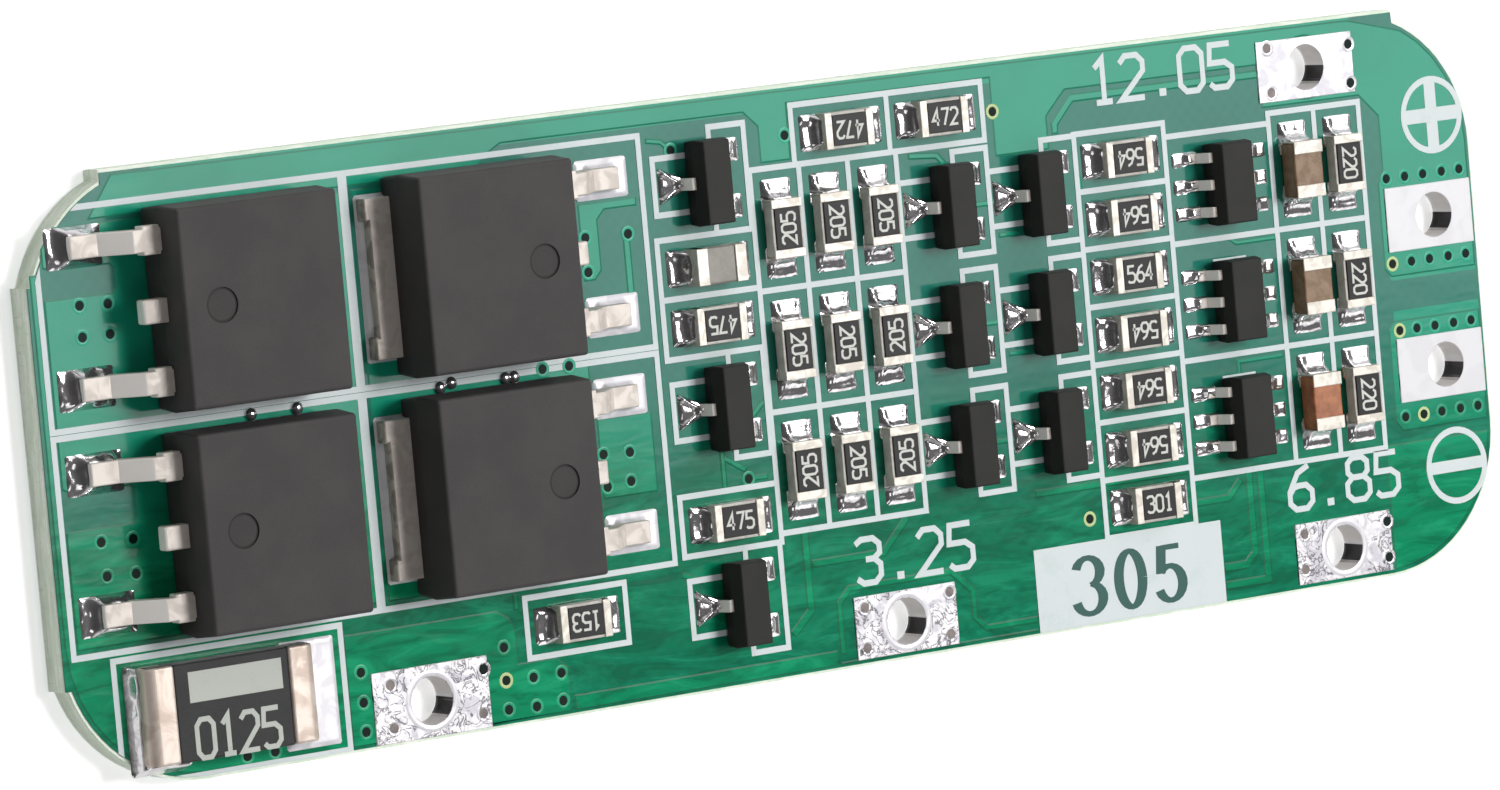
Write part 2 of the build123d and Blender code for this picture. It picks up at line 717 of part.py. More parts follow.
with BuildPart() as solder_joints:
    for places, profile, width in joints:
        for x, y, way in places:
            with BuildSketch(side_plane(x, y, mask_top, way)):
                Polygon(*profile, align=None)
        extrude(amount=width / 2, both=True)
    for side in (-1, 1):
        with BuildSketch(floor_plane(shunt_middle, shunt_middle_y, mask_top)):
            with Locations((side * (shunt_land_span - shunt_land_length) / 2, 0)):
                Rectangle(shunt_land_length, shunt_land_width)
    extrude(amount=land_thickness)
    add(fet_drain_tabs.part, mode=Mode.SUBTRACT)
solder_joints.part.label = "solder_joints"
export_step(solder_joints.part, "parts/solder_joints.step")
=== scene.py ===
"""Looks of the battery management board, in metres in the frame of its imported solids.

Sizes are written in millimetres and turned to metres by the factor MM.
"""

import bpy
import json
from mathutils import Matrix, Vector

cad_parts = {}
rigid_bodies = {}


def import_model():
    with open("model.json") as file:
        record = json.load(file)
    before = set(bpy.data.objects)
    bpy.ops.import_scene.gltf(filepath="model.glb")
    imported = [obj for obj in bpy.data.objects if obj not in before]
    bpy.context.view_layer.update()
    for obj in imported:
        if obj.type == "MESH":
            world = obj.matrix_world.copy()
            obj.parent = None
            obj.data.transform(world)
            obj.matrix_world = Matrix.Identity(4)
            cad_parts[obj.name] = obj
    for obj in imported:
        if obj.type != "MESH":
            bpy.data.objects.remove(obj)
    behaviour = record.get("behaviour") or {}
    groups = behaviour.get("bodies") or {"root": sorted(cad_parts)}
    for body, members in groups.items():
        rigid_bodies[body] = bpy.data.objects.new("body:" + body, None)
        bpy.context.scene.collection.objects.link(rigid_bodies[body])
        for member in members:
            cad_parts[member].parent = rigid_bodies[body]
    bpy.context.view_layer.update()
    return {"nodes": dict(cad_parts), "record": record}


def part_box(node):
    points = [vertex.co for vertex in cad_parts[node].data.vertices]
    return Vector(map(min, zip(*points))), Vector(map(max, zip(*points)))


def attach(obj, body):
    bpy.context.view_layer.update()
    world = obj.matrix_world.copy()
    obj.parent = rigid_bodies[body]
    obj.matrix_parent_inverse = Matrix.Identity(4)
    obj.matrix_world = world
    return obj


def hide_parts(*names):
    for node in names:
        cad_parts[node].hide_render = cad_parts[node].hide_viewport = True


for leftover in list(bpy.data.objects):
    bpy.data.objects.remove(leftover)

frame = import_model()

import json
import logging
import math
from dataclasses import dataclass
from enum import Enum
from typing import Any, Callable, ClassVar, Mapping, Sequence

import bmesh
from mathutils import Matrix, Vector, noise

log = logging.getLogger("board")

MM = 0.001
PHOTO_WIDTH = 1500
# Heights over the underside, in millimetres: the mask's face, and the face of the terminal lands.
MASK_TOP = 1.04
SEAT = 1.09
# Gap that keeps a thin layer clear of the face under it, in millimetres.
SKIN = 0.0005
# Distance from the middle of a power transistor to its round moulding mark, in millimetres.
MARK_SHIFT = 1.6
# Points nearer than this are one point, and heights nearer than this are one height, in metres.
WELD = 1e-7
NEAR = 1e-6
# Angles, in degrees, under which faces are flat and over which an edge is sharp.
FLAT_ANGLE = 1
SHARP_ANGLE = 25

Point = tuple[float, float]
Colour = tuple[float, float, float]


def linear(red: int, green: int, blue: int) -> Colour:
    """Turns a colour picked from a screen into linear light.

    Args:
        red: Red from 0 to 255.
        green: Green from 0 to 255.
        blue: Blue from 0 to 255.

    Returns:
        The colour as the shaders take it.
    """
    shares = [channel / 255 for channel in (red, green, blue)]
    return tuple(s / 12.92 if s <= 0.04045 else ((s + 0.055) / 1.055) ** 2.4 for s in shares)


def toned(colour: Colour, factor: float, lift: float = 0) -> Colour:
    """Makes a colour darker or paler.

    Args:
        colour: The colour in linear light.
        factor: Factor on each channel.
        lift: Amount that is added to each channel.

    Returns:
        The new colour.
    """
    return tuple(channel * factor + lift for channel in colour)


def is_power(node: str) -> bool:
    """True for the body of a power transistor."""
    return node.endswith(("_fet_upper", "_fet_lower"))


def is_small_transistor(node: str) -> bool:
    """True for the body of a small transistor."""
    return "_transistor" in node and not node.endswith("leads")


class Slot(Enum):
    """Material slots of the record."""

    LAMINATE = "laminate"
    MASK = "solder_mask"
    COPPER_MASK = "mask_over_copper"
    PRINT = "white_print"
    TIN = "tinned_copper"
    SOLDER = "solder"
    MOULD = "black_mould"
    SHUNT_COAT = "shunt_coat"
    GLAZE = "resistor_glaze"
    BROWN_CERAMIC = "brown_ceramic"
    GREY_CERAMIC = "grey_ceramic"


class Way(Enum):
    """Directions in the board's plane, as unit steps."""

    EAST = (1, 0)
    NORTH = (0, 1)
    WEST = (-1, 0)
    SOUTH = (0, -1)

    @property
    def angle(self) -> float:
        """Turn from +X in radians."""
        return math.atan2(self.value[1], self.value[0])

    @property
    def opposite(self) -> "Way":
        """The way round the other side."""
        return Way((-self.value[0], -self.value[1]))


@dataclass(frozen=True)
class Number:
    """A number in a finish's maths. Its operators add the Math nodes."""

    sheet: "NodeSheet"
    socket: bpy.types.NodeSocket

    def __add__(self, other: Any) -> "Number":
        """Sum."""
        return self.sheet.maths("ADD", self, other)

    def __radd__(self, other: Any) -> "Number":
        """Sum, with the number on the right."""
        return self.sheet.maths("ADD", other, self)

    def __sub__(self, other: Any) -> "Number":
        """Difference."""
        return self.sheet.maths("SUBTRACT", self, other)

    def __rsub__(self, other: Any) -> "Number":
        """Difference, with the number on the right."""
        return self.sheet.maths("SUBTRACT", other, self)

    def __mul__(self, other: Any) -> "Number":
        """Product."""
        return self.sheet.maths("MULTIPLY", self, other)

    def __gt__(self, other: Any) -> "Number":
        """1 where it is greater, otherwise 0."""
        return self.sheet.maths("GREATER_THAN", self, other)

    def __lt__(self, other: Any) -> "Number":
        """1 where it is less, otherwise 0."""
        return self.sheet.maths("LESS_THAN", self, other)

    def larger(self, other: Any) -> "Number":
        """The larger of the two."""
        return self.sheet.maths("MAXIMUM", self, other)

    def smaller(self, other: Any) -> "Number":
        """The smaller of the two."""
        return self.sheet.maths("MINIMUM", self, other)


class NodeSheet:
    """A node tree that is written as expressions."""

    def __init__(self, tree: bpy.types.NodeTree) -> None:
        """Starts with an empty tree.

        Args:
            tree: The tree of a material or of the surround.
        """
        self.tree = tree
        self.tree.nodes.clear()

    def node(self, kind: str, settings: Mapping[str, Any] | None = None,
             inputs: Mapping[str | int, Any] | None = None) -> bpy.types.Node:
        """Adds any node.

        Args:
            kind: Type of the node.
            settings: Settings by name.
            inputs: Values or links by socket name or number.

        Returns:
            The node.
        """
        made = self.tree.nodes.new(kind)
        for key, setting in (settings or {}).items():
            setattr(made, key, setting)
        for key, given in (inputs or {}).items():
            self.feed(made.inputs[key], given)
        return made

    def feed(self, socket: bpy.types.NodeSocket, given: Any) -> None:
        """Links or sets a socket.

        Args:
            socket: The socket that takes it.
            given: Number, socket or value.
        """
        if isinstance(given, Number):
            given = given.socket
        if isinstance(given, bpy.types.NodeSocket):
            self.tree.links.new(given, socket)
        else:
            socket.default_value = given

    def number(self, socket: bpy.types.NodeSocket) -> Number:
        """Wraps a socket as a number."""
        return Number(self, socket)

    def maths(self, operation: str, *terms: Any) -> Number:
        """Adds a Math node.

        Args:
            operation: Name of the operation.
            terms: Numbers or values it works on.

        Returns:
            Its result.
        """
        made = self.node("ShaderNodeMath", {"operation": operation}, dict(enumerate(terms)))
        return self.number(made.outputs[0])

    def band(self, value: Number, low: float, high: float, start: float = 0, end: float = 1) -> Number:
        """Eases a number from one value to another.

        Args:
            value: The number.
            low: Where the change begins.
            high: Where it ends.
            start: Result below low.
            end: Result above high.

        Returns:
            The eased number.
        """
        made = self.node("ShaderNodeMapRange", {"interpolation_type": "SMOOTHSTEP"},
                         {"Value": value, "From Min": low, "From Max": high, "To Min": start, "To Max": end})
        return self.number(made.outputs[0])

    def mix(self, share: Number | float, first: Any, second: Any) -> bpy.types.NodeSocket:
        """Mixes two colours.

        Args:
            share: Share of the second.
            first: Colour or socket.
            second: Colour or socket.

        Returns:
            The mixed colour.
        """
        colours = [(*c, 1) if isinstance(c, tuple) else c for c in (first, second)]
        made = self.node("ShaderNodeMix", {"data_type": "RGBA"}, {0: share, 6: colours[0], 7: colours[1]})
        return made.outputs[2]


class Recipe(NodeSheet):
    """The node tree of one finish, read at places in millimetres."""

    def __init__(self, name: str) -> None:
        """Starts a finish.

        Args:
            name: Name of the material.
        """
        self.material = bpy.data.materials.new(name)
        self.material.use_nodes = True
        super().__init__(self.material.node_tree)
        self.shader = self.node("ShaderNodeBsdfPrincipled")
        self.node("ShaderNodeOutputMaterial", inputs={"Surface": self.shader.outputs[0]})
        coordinates = self.node("ShaderNodeTexCoord")
        scaled = self.node("ShaderNodeMapping", inputs={"Vector": coordinates.outputs["Object"],
                                                        "Scale": (1 / MM,) * 3})
        self.place = scaled.outputs[0]

    def axis(self, letter: str) -> Number:
        """Place along one axis in millimetres."""
        split = self.node("ShaderNodeSeparateXYZ", inputs={0: self.place})
        return self.number(split.outputs[letter])

    def stretched(self, x: float = 1, y: float = 1, z: float = 1,
                  shift: tuple[float, float, float] = (0, 0, 0)) -> bpy.types.NodeSocket:
        """Place with each axis scaled, so that a pattern is drawn out.

        Args:
            x: Factor along X.
            y: Factor along Y.
            z: Factor along Z.
            shift: Offset of the pattern in millimetres.

        Returns:
            The scaled place.
        """
        scaled = self.node("ShaderNodeMapping", inputs={"Vector": self.place, "Scale": (x, y, z),
                                                        "Location": shift})
        return scaled.outputs[0]

    def noise(self, per_mm: float, detail: float = 3, roughness: float = 0.55, distortion: float = 0,
              place: bpy.types.NodeSocket | None = None) -> Number:
        """Noise over the surface.

        Args:
            per_mm: Waves in a millimetre.
            detail: Octaves of finer noise.
            roughness: Strength of the finer octaves.
            distortion: How far the noise is stirred.
            place: Place to read it at, where the pattern is stretched.

        Returns:
            A number about 0.5.
        """
        made = self.node("ShaderNodeTexNoise", inputs={
            "Vector": place or self.place, "Scale": per_mm, "Detail": detail,
            "Roughness": roughness, "Distortion": distortion})
        return self.number(made.outputs[0])

    def bump(self, height: Number, depth: float, under: bpy.types.NodeSocket | None = None
             ) -> bpy.types.NodeSocket:
        """Tilts the surface by a height pattern.

        Args:
            height: Pattern from 0 to 1.
            depth: Height of the pattern in millimetres.
            under: Normal that it is added to.

        Returns:
            The tilted normal.
        """
        inputs = {"Height": height, "Distance": depth * MM}
        if under is not None:
            inputs["Normal"] = under
        return self.node("ShaderNodeBump", inputs=inputs).outputs[0]

    def nearest(self, centres: Sequence[Point]) -> Number | None:
        """Distance to the nearest of some points of the plan.

        Args:
            centres: The points in millimetres.

        Returns:
            The distance in millimetres, or nothing where there are no points.
        """
        nearest = None
        for x, y in centres:
            step_x = self.axis("X") - x
            step_y = self.axis("Y") - y
            reach = self.maths("SQRT", step_x * step_x + step_y * step_y)
            nearest = reach if nearest is None else nearest.smaller(reach)
        return nearest

    def facing(self, letter: str) -> Number:
        """Share of the surface's normal along one axis.

        Args:
            letter: X, Y or Z.

        Returns:
            The share, from -1 to 1.
        """
        geometry = self.node("ShaderNodeNewGeometry")
        split = self.node("ShaderNodeSeparateXYZ", inputs={0: geometry.outputs["Normal"]})
        return self.number(split.outputs[letter])

    def close(self, **sockets: Any) -> bpy.types.Material:
        """Sets the shader's sockets.

        Args:
            sockets: Values or links, with spaces in a name written as underscores.

        Returns:
            The finished material.
        """
        for key, given in sockets.items():
            self.feed(self.shader.inputs[key.replace("_", " ")], given)
        return self.material


@dataclass(frozen=True)
class MaskFinish:
    """Green solder mask, over bare laminate or over copper. It turns paler towards the far edge, a painted sheen in
    place of the lamp's reflection in its gloss, and its near part carries painted reflection streaks.
    """

    name: str
    near: Colour
    far: Colour
    weave: float
    ripple: float
    gloss: float = 0.1
    shine: float = 0.5
    threads: Point = (11.5, 10.5)
    # Where the painted sheen towards the far edge begins and ends, and how it leans and wanders.
    sheen_band: Point = (-6.5, 1.5)
    sheen_lean: float = 0.06
    sheen_drift: float = 5
    grain_depth: float = 0.16
    cloud_depth: float = 0.35
    # Strengths of the painted reflection streaks, dark and pale.
    painted_dark_streak: float = 0.62
    painted_pale_streak: float = 0.5

    def build(self) -> bpy.types.Material:
        """Makes the material.

        Returns:
            The material.
        """
        r = Recipe(self.name)
        weft = r.maths("SINE", r.axis("X") * self.threads[0])
        warp = r.maths("SINE", r.axis("Y") * self.threads[1])
        cloth = weft * warp * 0.5 + 0.5
        cloud = r.noise(0.35, detail=4)
        grain = r.noise(9)
        # Painted sheen: the colour turns to the paler far colour towards the far edge, in place of the lamp's
        # reflection in the gloss.
        far = r.band(r.axis("Y") + r.axis("X") * self.sheen_lean + (cloud - 0.5) * self.sheen_drift, *self.sheen_band)
        colour = r.mix(far, self.near, self.far)
        shade = r.mix(far, toned(self.near, 0.72), toned(self.far, 0.78))
        patches = r.band(cloud, 0.35, 0.75) * self.cloud_depth
        colour = r.mix(cloth * self.weave + (grain - 0.5) * self.grain_depth + patches, colour, shade)
        # Painted reflections: wavy dark and pale streaks in the near part stand in for the lamp's edge mirrored in
        # the rippled gloss.
        wave = r.noise(0.75, detail=4, roughness=0.6, distortion=1.4, place=r.stretched(0.4, 1.6, shift=(5, 2, 0)))
        streak_share = 1 - far
        colour = r.mix(r.band(wave, 0.5, 0.62) * streak_share * self.painted_dark_streak, colour, toned(self.near, 0.5))
        colour = r.mix(r.band(wave, 0.5, 0.34) * streak_share * self.painted_pale_streak, colour, toned(self.near, 1.6, 0.01))
        peel = r.noise(0.75, detail=2, roughness=0.5, distortion=0.4, place=r.stretched(0.55, 1.7))
        normal = r.bump(peel, self.ripple)
        gloss = r.noise(2.5) * 0.05 + (self.gloss - 0.02)
        return r.close(Base_Color=colour, Roughness=gloss, Normal=normal, Specular_IOR_Level=self.shine)


@dataclass(frozen=True)
class LaminateFinish:
    """Glass laminate: pale layered edges, and a masked underside with bare ring lands."""

    edge: Colour
    strand: Colour
    core: Colour
    underside: Colour
    tin: Colour
    land_radius: float = 1.25
    land_blur: float = 0.03
    cut_rough: float = 0.75
    mask_rough: float = 0.4
    relief_depth: float = 0.05
    holes: tuple[Point, ...] = ()

    def build(self) -> bpy.types.Material:
        """Makes the material.

        Returns:
            The material.
        """
        r = Recipe("laminate_edge")
        layers = r.noise(1, detail=4, roughness=0.6, distortion=0.2, place=r.stretched(0.7, 0.7, 7))
        fibres = r.noise(1, roughness=0.6, place=r.stretched(9, 9, 2.2))
        colour = r.mix(r.band(layers, 0.42, 0.62), self.edge, self.strand)
        colour = r.mix(r.band(fibres, 0.55, 0.8) * 0.55, colour, self.core)
        ring = r.nearest(self.holes)
        under = r.facing("Z") < -0.5
        land = r.band(ring, self.land_radius - self.land_blur, self.land_radius + self.land_blur, 1, 0)
        shade = r.noise(0.5)
        masked = r.mix(r.band(shade, 0.3, 0.7), self.underside, toned(self.underside, 0.8))
        masked = r.mix(land, masked, self.tin)
        colour = r.mix(under, colour, masked)
        rough = under * (self.mask_rough - self.cut_rough) + self.cut_rough
        relief = r.noise(6) * 0.4 + layers * 0.6
        normal = r.bump(relief * (1 - under * 0.85), self.relief_depth)
        return r.close(Base_Color=colour, Roughness=rough, Metallic=under * land, Normal=normal)


@dataclass(frozen=True)
class PrintFinish:
    """Printed ink: it thins a little at random and shows the mask under it."""

    name: str
    colour: Colour
    under: Colour
    thin: float = 0.35
    rough: float = 0.55
    grain: float = 0.004

    def build(self) -> bpy.types.Material:
        """Makes the material.

        Returns:
            The material.
        """
        r = Recipe(self.name)
        patches = r.noise(1.3, detail=4, roughness=0.6)
        speckle = r.noise(14, detail=2)
        worn = r.band(patches * 0.7 + speckle * 0.3, 0.52, 0.75) * self.thin
        colour = r.mix(worn, self.colour, self.under)
        return r.close(Base_Color=colour, Roughness=self.rough, Normal=r.bump(speckle, self.grain))


@dataclass(frozen=True)
class TinFinish:
    """Tinned or soldered metal: mottled grey and white, waved by its own flow. It can take painted light on faces
    turned to -X, and a painted reflection on the walls of plated holes.
    """

    name: str
    colour: Colour
    dull: Colour
    blotch_size: float
    wave: float
    rough: float = 0.24
    metal: float = 1
    scars: float = 0
    # With barrel, the walls of the holes take a painted reflection in the next three colours.
    barrel: bool = False
    black: Colour = (0.006, 0.005, 0.006)
    wall_tin: Colour = (0.9, 0.87, 0.85)
    glint: Colour = (0.95, 0.95, 0.95)
    # Painted light on faces turned to -X: its strength and its colour.
    painted_slope_light: float = 0
    painted_slope_colour: Colour = (0.98, 0.94, 0.9)
    scar_width: Point = (0.004, 0.04)
    grain: float = 0.0012

    def build(self) -> bpy.types.Material:
        """Makes the material.

        Returns:
            The material.
        """
        r = Recipe(self.name)
        blotch = r.noise(1 / self.blotch_size, roughness=0.5, distortion=1.2)
        fine = r.noise(8)
        mottle = r.band(blotch, 0.42, 0.6)
        colour = r.mix(mottle * 0.7 + (fine - 0.5) * 0.3, self.colour, self.dull)
        relief = blotch
        # Painted light: faces turned to -X, which lie in shade, are made paler.
        if self.painted_slope_light:
            sloping = r.band(r.facing("X"), -0.2, -0.5, 0, self.painted_slope_light)
            colour = r.mix(sloping, colour, self.painted_slope_colour)
        if self.scars:
            scar = self.scar(r)
            colour = r.mix(scar, colour, toned(self.dull, 0.22))
            relief = blotch - scar * 0.5
        normal = r.bump(relief, self.wave)
        normal = r.bump(fine, self.grain, normal)
        gloss = mottle * 0.1 + fine * 0.06 + (self.rough - 0.06)
        if not self.barrel:
            return r.close(Base_Color=colour, Roughness=gloss, Metallic=self.metal, Normal=normal)
        # Painted reflection: the hole walls lose their metal and take the painted dark band and glint.
        wall = r.band(r.maths("ABSOLUTE", r.facing("Z")), 0.3, 0.7, 1, 0)
        colour = r.mix(wall, colour, self.painted_wall_reflection(r))
        return r.close(Base_Color=colour, Roughness=gloss, Metallic=(1 - wall) * self.metal, Normal=normal)

    def scar(self, r: Recipe) -> Number:
        """Thin creases that wander in patches of the near half of the board.

        Args:
            r: Sheet that they are written on.

        Returns:
            Share of the creases' colour.
        """
        crease = r.maths("ABSOLUTE", r.noise(1.5, detail=4, roughness=0.6, distortion=1.6) - 0.5)
        spread = r.noise(0.55, detail=2, roughness=0.5, place=r.stretched(shift=(3, 7, 0)))
        patch = r.band(spread, 0.36, 0.5)
        return r.band(crease, *self.scar_width, 1, 0) * patch * (r.axis("Y") < 0) * self.scars

    def painted_wall_reflection(self, r: Recipe) -> bpy.types.NodeSocket:
        """Painted reflection on the wall of a plated hole: a dark band and a glint beside it, in place of what the
        metal would mirror.

        Args:
            r: Sheet that it is written on.

        Returns:
            The wall's colour.
        """
        waver = r.noise(1.2, roughness=0.6, place=r.stretched(z=0.2))
        turn = r.facing("Y") + (waver - 0.5) * 0.3
        dark = r.band(turn, -0.04, 0.03) * r.band(turn, 0.62, 0.8, 1, 0)
        glint = r.band(r.maths("ABSOLUTE", turn + 0.12), 0.04, 0.12, 1, 0)
        return r.mix(glint, r.mix(dark, self.wall_tin, self.black), self.glint)


@dataclass(frozen=True)
class MouldFinish:
    """Black moulded plastic with fine filler grain, and painted shade round each moulding mark: a fine dark line,
    and a darker band just inside it.
    """

    name: str
    colour: Colour
    bloom: Colour
    grain: float = 0.006
    rough: float = 0.5
    sheen_level: float = 0.3
    marks: tuple[Point, ...] = ()
    mark_radius: float = 0.54
    mark_line: float = 0.05
    painted_line_shade: float = 0.75
    painted_sunk_shade: float = 0.22

    def build(self) -> bpy.types.Material:
        """Makes the material.

        Returns:
            The material.
        """
        r = Recipe(self.name)
        speck = r.noise(16, detail=4, roughness=0.7)
        cloud = r.noise(0.5)
        colour = r.mix(r.band(cloud * 0.6 + speck * 0.4, 0.35, 0.68), self.colour, self.bloom)
        reach = r.nearest(self.marks)
        if reach is not None:
            # Painted shade: a dark line all round the mark's rim and a darker band inside it, for the shade of its
            # recess.
            off = r.maths("ABSOLUTE", reach - self.mark_radius)
            line = r.band(off, self.mark_line * 0.5, self.mark_line * 1.3, self.painted_line_shade, 0)
            line = line * (r.facing("Z") > 0.5)
            sunk = r.band(reach, self.mark_radius - self.mark_line, self.mark_radius, self.painted_sunk_shade, 0)
            colour = r.mix(line.larger(sunk), colour, toned(self.colour, 0.3))
        normal = r.bump(speck, self.grain)
        gloss = speck * 0.2 + (self.rough - 0.1)
        return r.close(Base_Color=colour, Roughness=gloss, Normal=normal, Specular_IOR_Level=self.sheen_level)


@dataclass(frozen=True)
class CeramicFinish:
    """Fired ceramic: a body colour with fine pores."""

    name: str
    colour: Colour
    shade: Colour
    rough: float = 0.42
    grain: float = 0.003

    def build(self) -> bpy.types.Material:
        """Makes the material.

        Returns:
            The material.
        """
        r = Recipe(self.name)
        cloud = r.noise(2.2)
        pores = r.noise(20, detail=2)
        colour = r.mix(r.band(cloud * 0.7 + pores * 0.3, 0.35, 0.65), self.colour, self.shade)
        gloss = pores * 0.2 + (self.rough - 0.1)
        return r.close(Base_Color=colour, Roughness=gloss, Normal=r.bump(pores, self.grain))


class Finishes:
    """Every finish of the board, made once."""

    def __init__(self, holes: Sequence[Point], marks: Sequence[Point]) -> None:
        """Makes the finishes.

        Args:
            holes: Centres of the terminal holes in millimetres.
            marks: Centres of the round marks on the power transistors.
        """
        self.holes = tuple(holes)
        # Each mask's second colour is the paler colour of its painted sheen towards the far edge.
        self.bare_mask = MaskFinish("mask_on_laminate", linear(8, 122, 88), linear(35, 120, 103), weave=0.3,
                                    ripple=0.004).build()
        self.copper_mask = MaskFinish("mask_on_copper", linear(6, 136, 93), linear(24, 150, 120), weave=0.0,
                                      ripple=0.006).build()
        self.rim_mask = MaskFinish("mask_on_rim", linear(4, 104, 72), linear(18, 120, 92), weave=0.0,
                                   ripple=0.002, gloss=0.4, shine=0.2).build()
        self.ring_mask = MaskFinish("mask_on_ring", linear(22, 152, 108), linear(50, 168, 136), weave=0.0,
                                    ripple=0.002, gloss=0.35, shine=0.25).build()
        self.laminate = LaminateFinish(linear(222, 236, 216), linear(242, 248, 235), linear(192, 208, 184),
                                       linear(24, 118, 84), linear(214, 214, 210), holes=self.holes).build()
        self.print = PrintFinish("white_print", linear(208, 216, 217), linear(146, 186, 172), thin=0.3).build()
        self.ink = PrintFinish("dark_ink", linear(14, 80, 72), linear(44, 108, 98)).build()
        self.code_ink = PrintFinish("code_print", linear(206, 206, 200), linear(120, 120, 116)).build()
        # The leads take painted light on their slopes that face -X.
        self.tin = TinFinish("tinned_lead", linear(212, 203, 195), linear(190, 181, 173), blotch_size=0.7,
                             wave=0.008, rough=0.5, metal=0.18, painted_slope_light=0.9).build()
        self.fold_tin = TinFinish("folded_strip_end", linear(214, 200, 189), linear(178, 159, 146), blotch_size=1.1,
                                  wave=0.008, rough=0.4, metal=0.4).build()
        self.land_tin = TinFinish("levelled_land", linear(225, 222, 225), linear(170, 167, 177), blotch_size=0.75,
                                  wave=0.006, rough=0.36, metal=0.35, scars=0.95, barrel=True).build()
        self.tab_tin = TinFinish("tab_ear", linear(176, 166, 156), linear(112, 103, 96), blotch_size=0.9,
                                 wave=0.012, rough=0.45, metal=0.3).build()
        self.plain_land = TinFinish("flat_land", linear(212, 211, 214), linear(204, 203, 206), blotch_size=1.4,
                                    wave=0.003, rough=0.4, metal=0.15, barrel=True).build()
        self.solder = TinFinish("bright_solder", linear(236, 233, 235), linear(204, 200, 203), blotch_size=0.45,
                                wave=0.008, rough=0.12, metal=0.95).build()
        self.pale_solder = TinFinish("dull_solder", linear(226, 224, 228), linear(205, 202, 208), blotch_size=0.9,
                                     wave=0.004, rough=0.4, metal=0.25).build()
        self.end_metal = TinFinish("chip_end_metal", linear(214, 208, 198), linear(186, 179, 168), blotch_size=0.5,
                                   wave=0.005, rough=0.42, metal=0.35).build()
        self.power_mould = MouldFinish("power_mould", linear(61, 59, 59), linear(69, 67, 66), grain=0.008,
                                       rough=0.6, sheen_level=0.22, marks=tuple(marks)).build()
        self.small_mould = MouldFinish("small_mould", linear(36, 36, 34), linear(44, 43, 41), grain=0.006,
                                       rough=0.55, sheen_level=0.2).build()
        self.shunt_coat = MouldFinish("shunt_coating", linear(36, 35, 36), linear(46, 45, 45), grain=0.008,
                                      rough=0.45, sheen_level=0.25).build()
        self.shunt_field = PrintFinish("shunt_print", linear(182, 186, 178), linear(150, 152, 146)).build()
        self.glaze = MouldFinish("black_glaze", linear(30, 29, 29), linear(40, 38, 38), grain=0.003, rough=0.42,
                                 sheen_level=0.25).build()
        self.ceramic = CeramicFinish("white_ceramic", linear(196, 193, 185), linear(168, 164, 155)).build()
        self.brown = CeramicFinish("brown_ceramic", linear(140, 114, 88), linear(112, 82, 50)).build()
        self.orange = CeramicFinish("orange_ceramic", linear(176, 108, 66), linear(140, 80, 42)).build()
        self.grey = CeramicFinish("grey_ceramic", linear(140, 136, 128), linear(126, 122, 114)).build()
        # Painted shade: the flat disc that stands for the hole of a via is nearly black green.
        self.pit = MouldFinish("via_pit", linear(3, 22, 17), linear(8, 34, 27), grain=0.003, rough=0.5,
                               sheen_level=0.12).build()
        self.bare_ring = PrintFinish("bare_ring", linear(186, 204, 140), linear(110, 160, 104)).build()
        # Painted shade, paler, for the pits of the lands other than the darkest ones.
        self.pale_pit_shade = CeramicFinish("pale_pit_shade", linear(132, 119, 114), linear(94, 85, 84)).build()


def dress(node: str, slot: Slot, *materials: bpy.types.Material) -> None:
    """Gives a solid of the part its finish.

    Args:
        node: Name of the solid's node.
        slot: Slot of the record. It is not used.
        materials: Finish, or finishes in the order of their numbers.
    """
    piece = frame["nodes"][node]
    piece.data.materials.clear()
    for material in materials:
        piece.data.materials.append(material)
    log.info("%s takes %s", node, ", ".join(m.name for m in materials))


def settle(bm: bmesh.types.BMesh, name: str, materials: Sequence[bpy.types.Material],
           replaced: Sequence[str] = (), smooth: bool = False) -> bpy.types.Object:
    """Turns a finished mesh into a piece that belongs to the board.

    Args:
        bm: The mesh, already in its place. It is freed.
        name: Name of the piece.
        materials: Finishes in the order of their numbers.
        replaced: Nodes of the solids that it stands for.
        smooth: True for a surface without edges.

    Returns:
        The piece.
    """
    mesh = bpy.data.meshes.new(name)
    for face in bm.faces:
        face.smooth = smooth
    bm.to_mesh(mesh)
    bm.free()
    piece = bpy.data.objects.new(name, mesh)
    bpy.context.scene.collection.objects.link(piece)
    for material in materials:
        mesh.materials.append(material)
    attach(piece, "root")
    if replaced:
        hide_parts(*replaced)
    log.info("%s has %d faces", name, len(mesh.polygons))
    return piece


def merged(node: str) -> bmesh.types.BMesh:
    """Copies a solid with its loose triangles joined into whole faces.

    Args:
        node: Name of the solid's node.

    Returns:
        The copy.
    """
    bm = bmesh.new()
    bm.from_mesh(frame["nodes"][node].data)
    bmesh.ops.remove_doubles(bm, verts=bm.verts, dist=WELD)
    bmesh.ops.dissolve_limit(bm, angle_limit=math.radians(FLAT_ANGLE), verts=bm.verts, edges=bm.edges)
    return bm


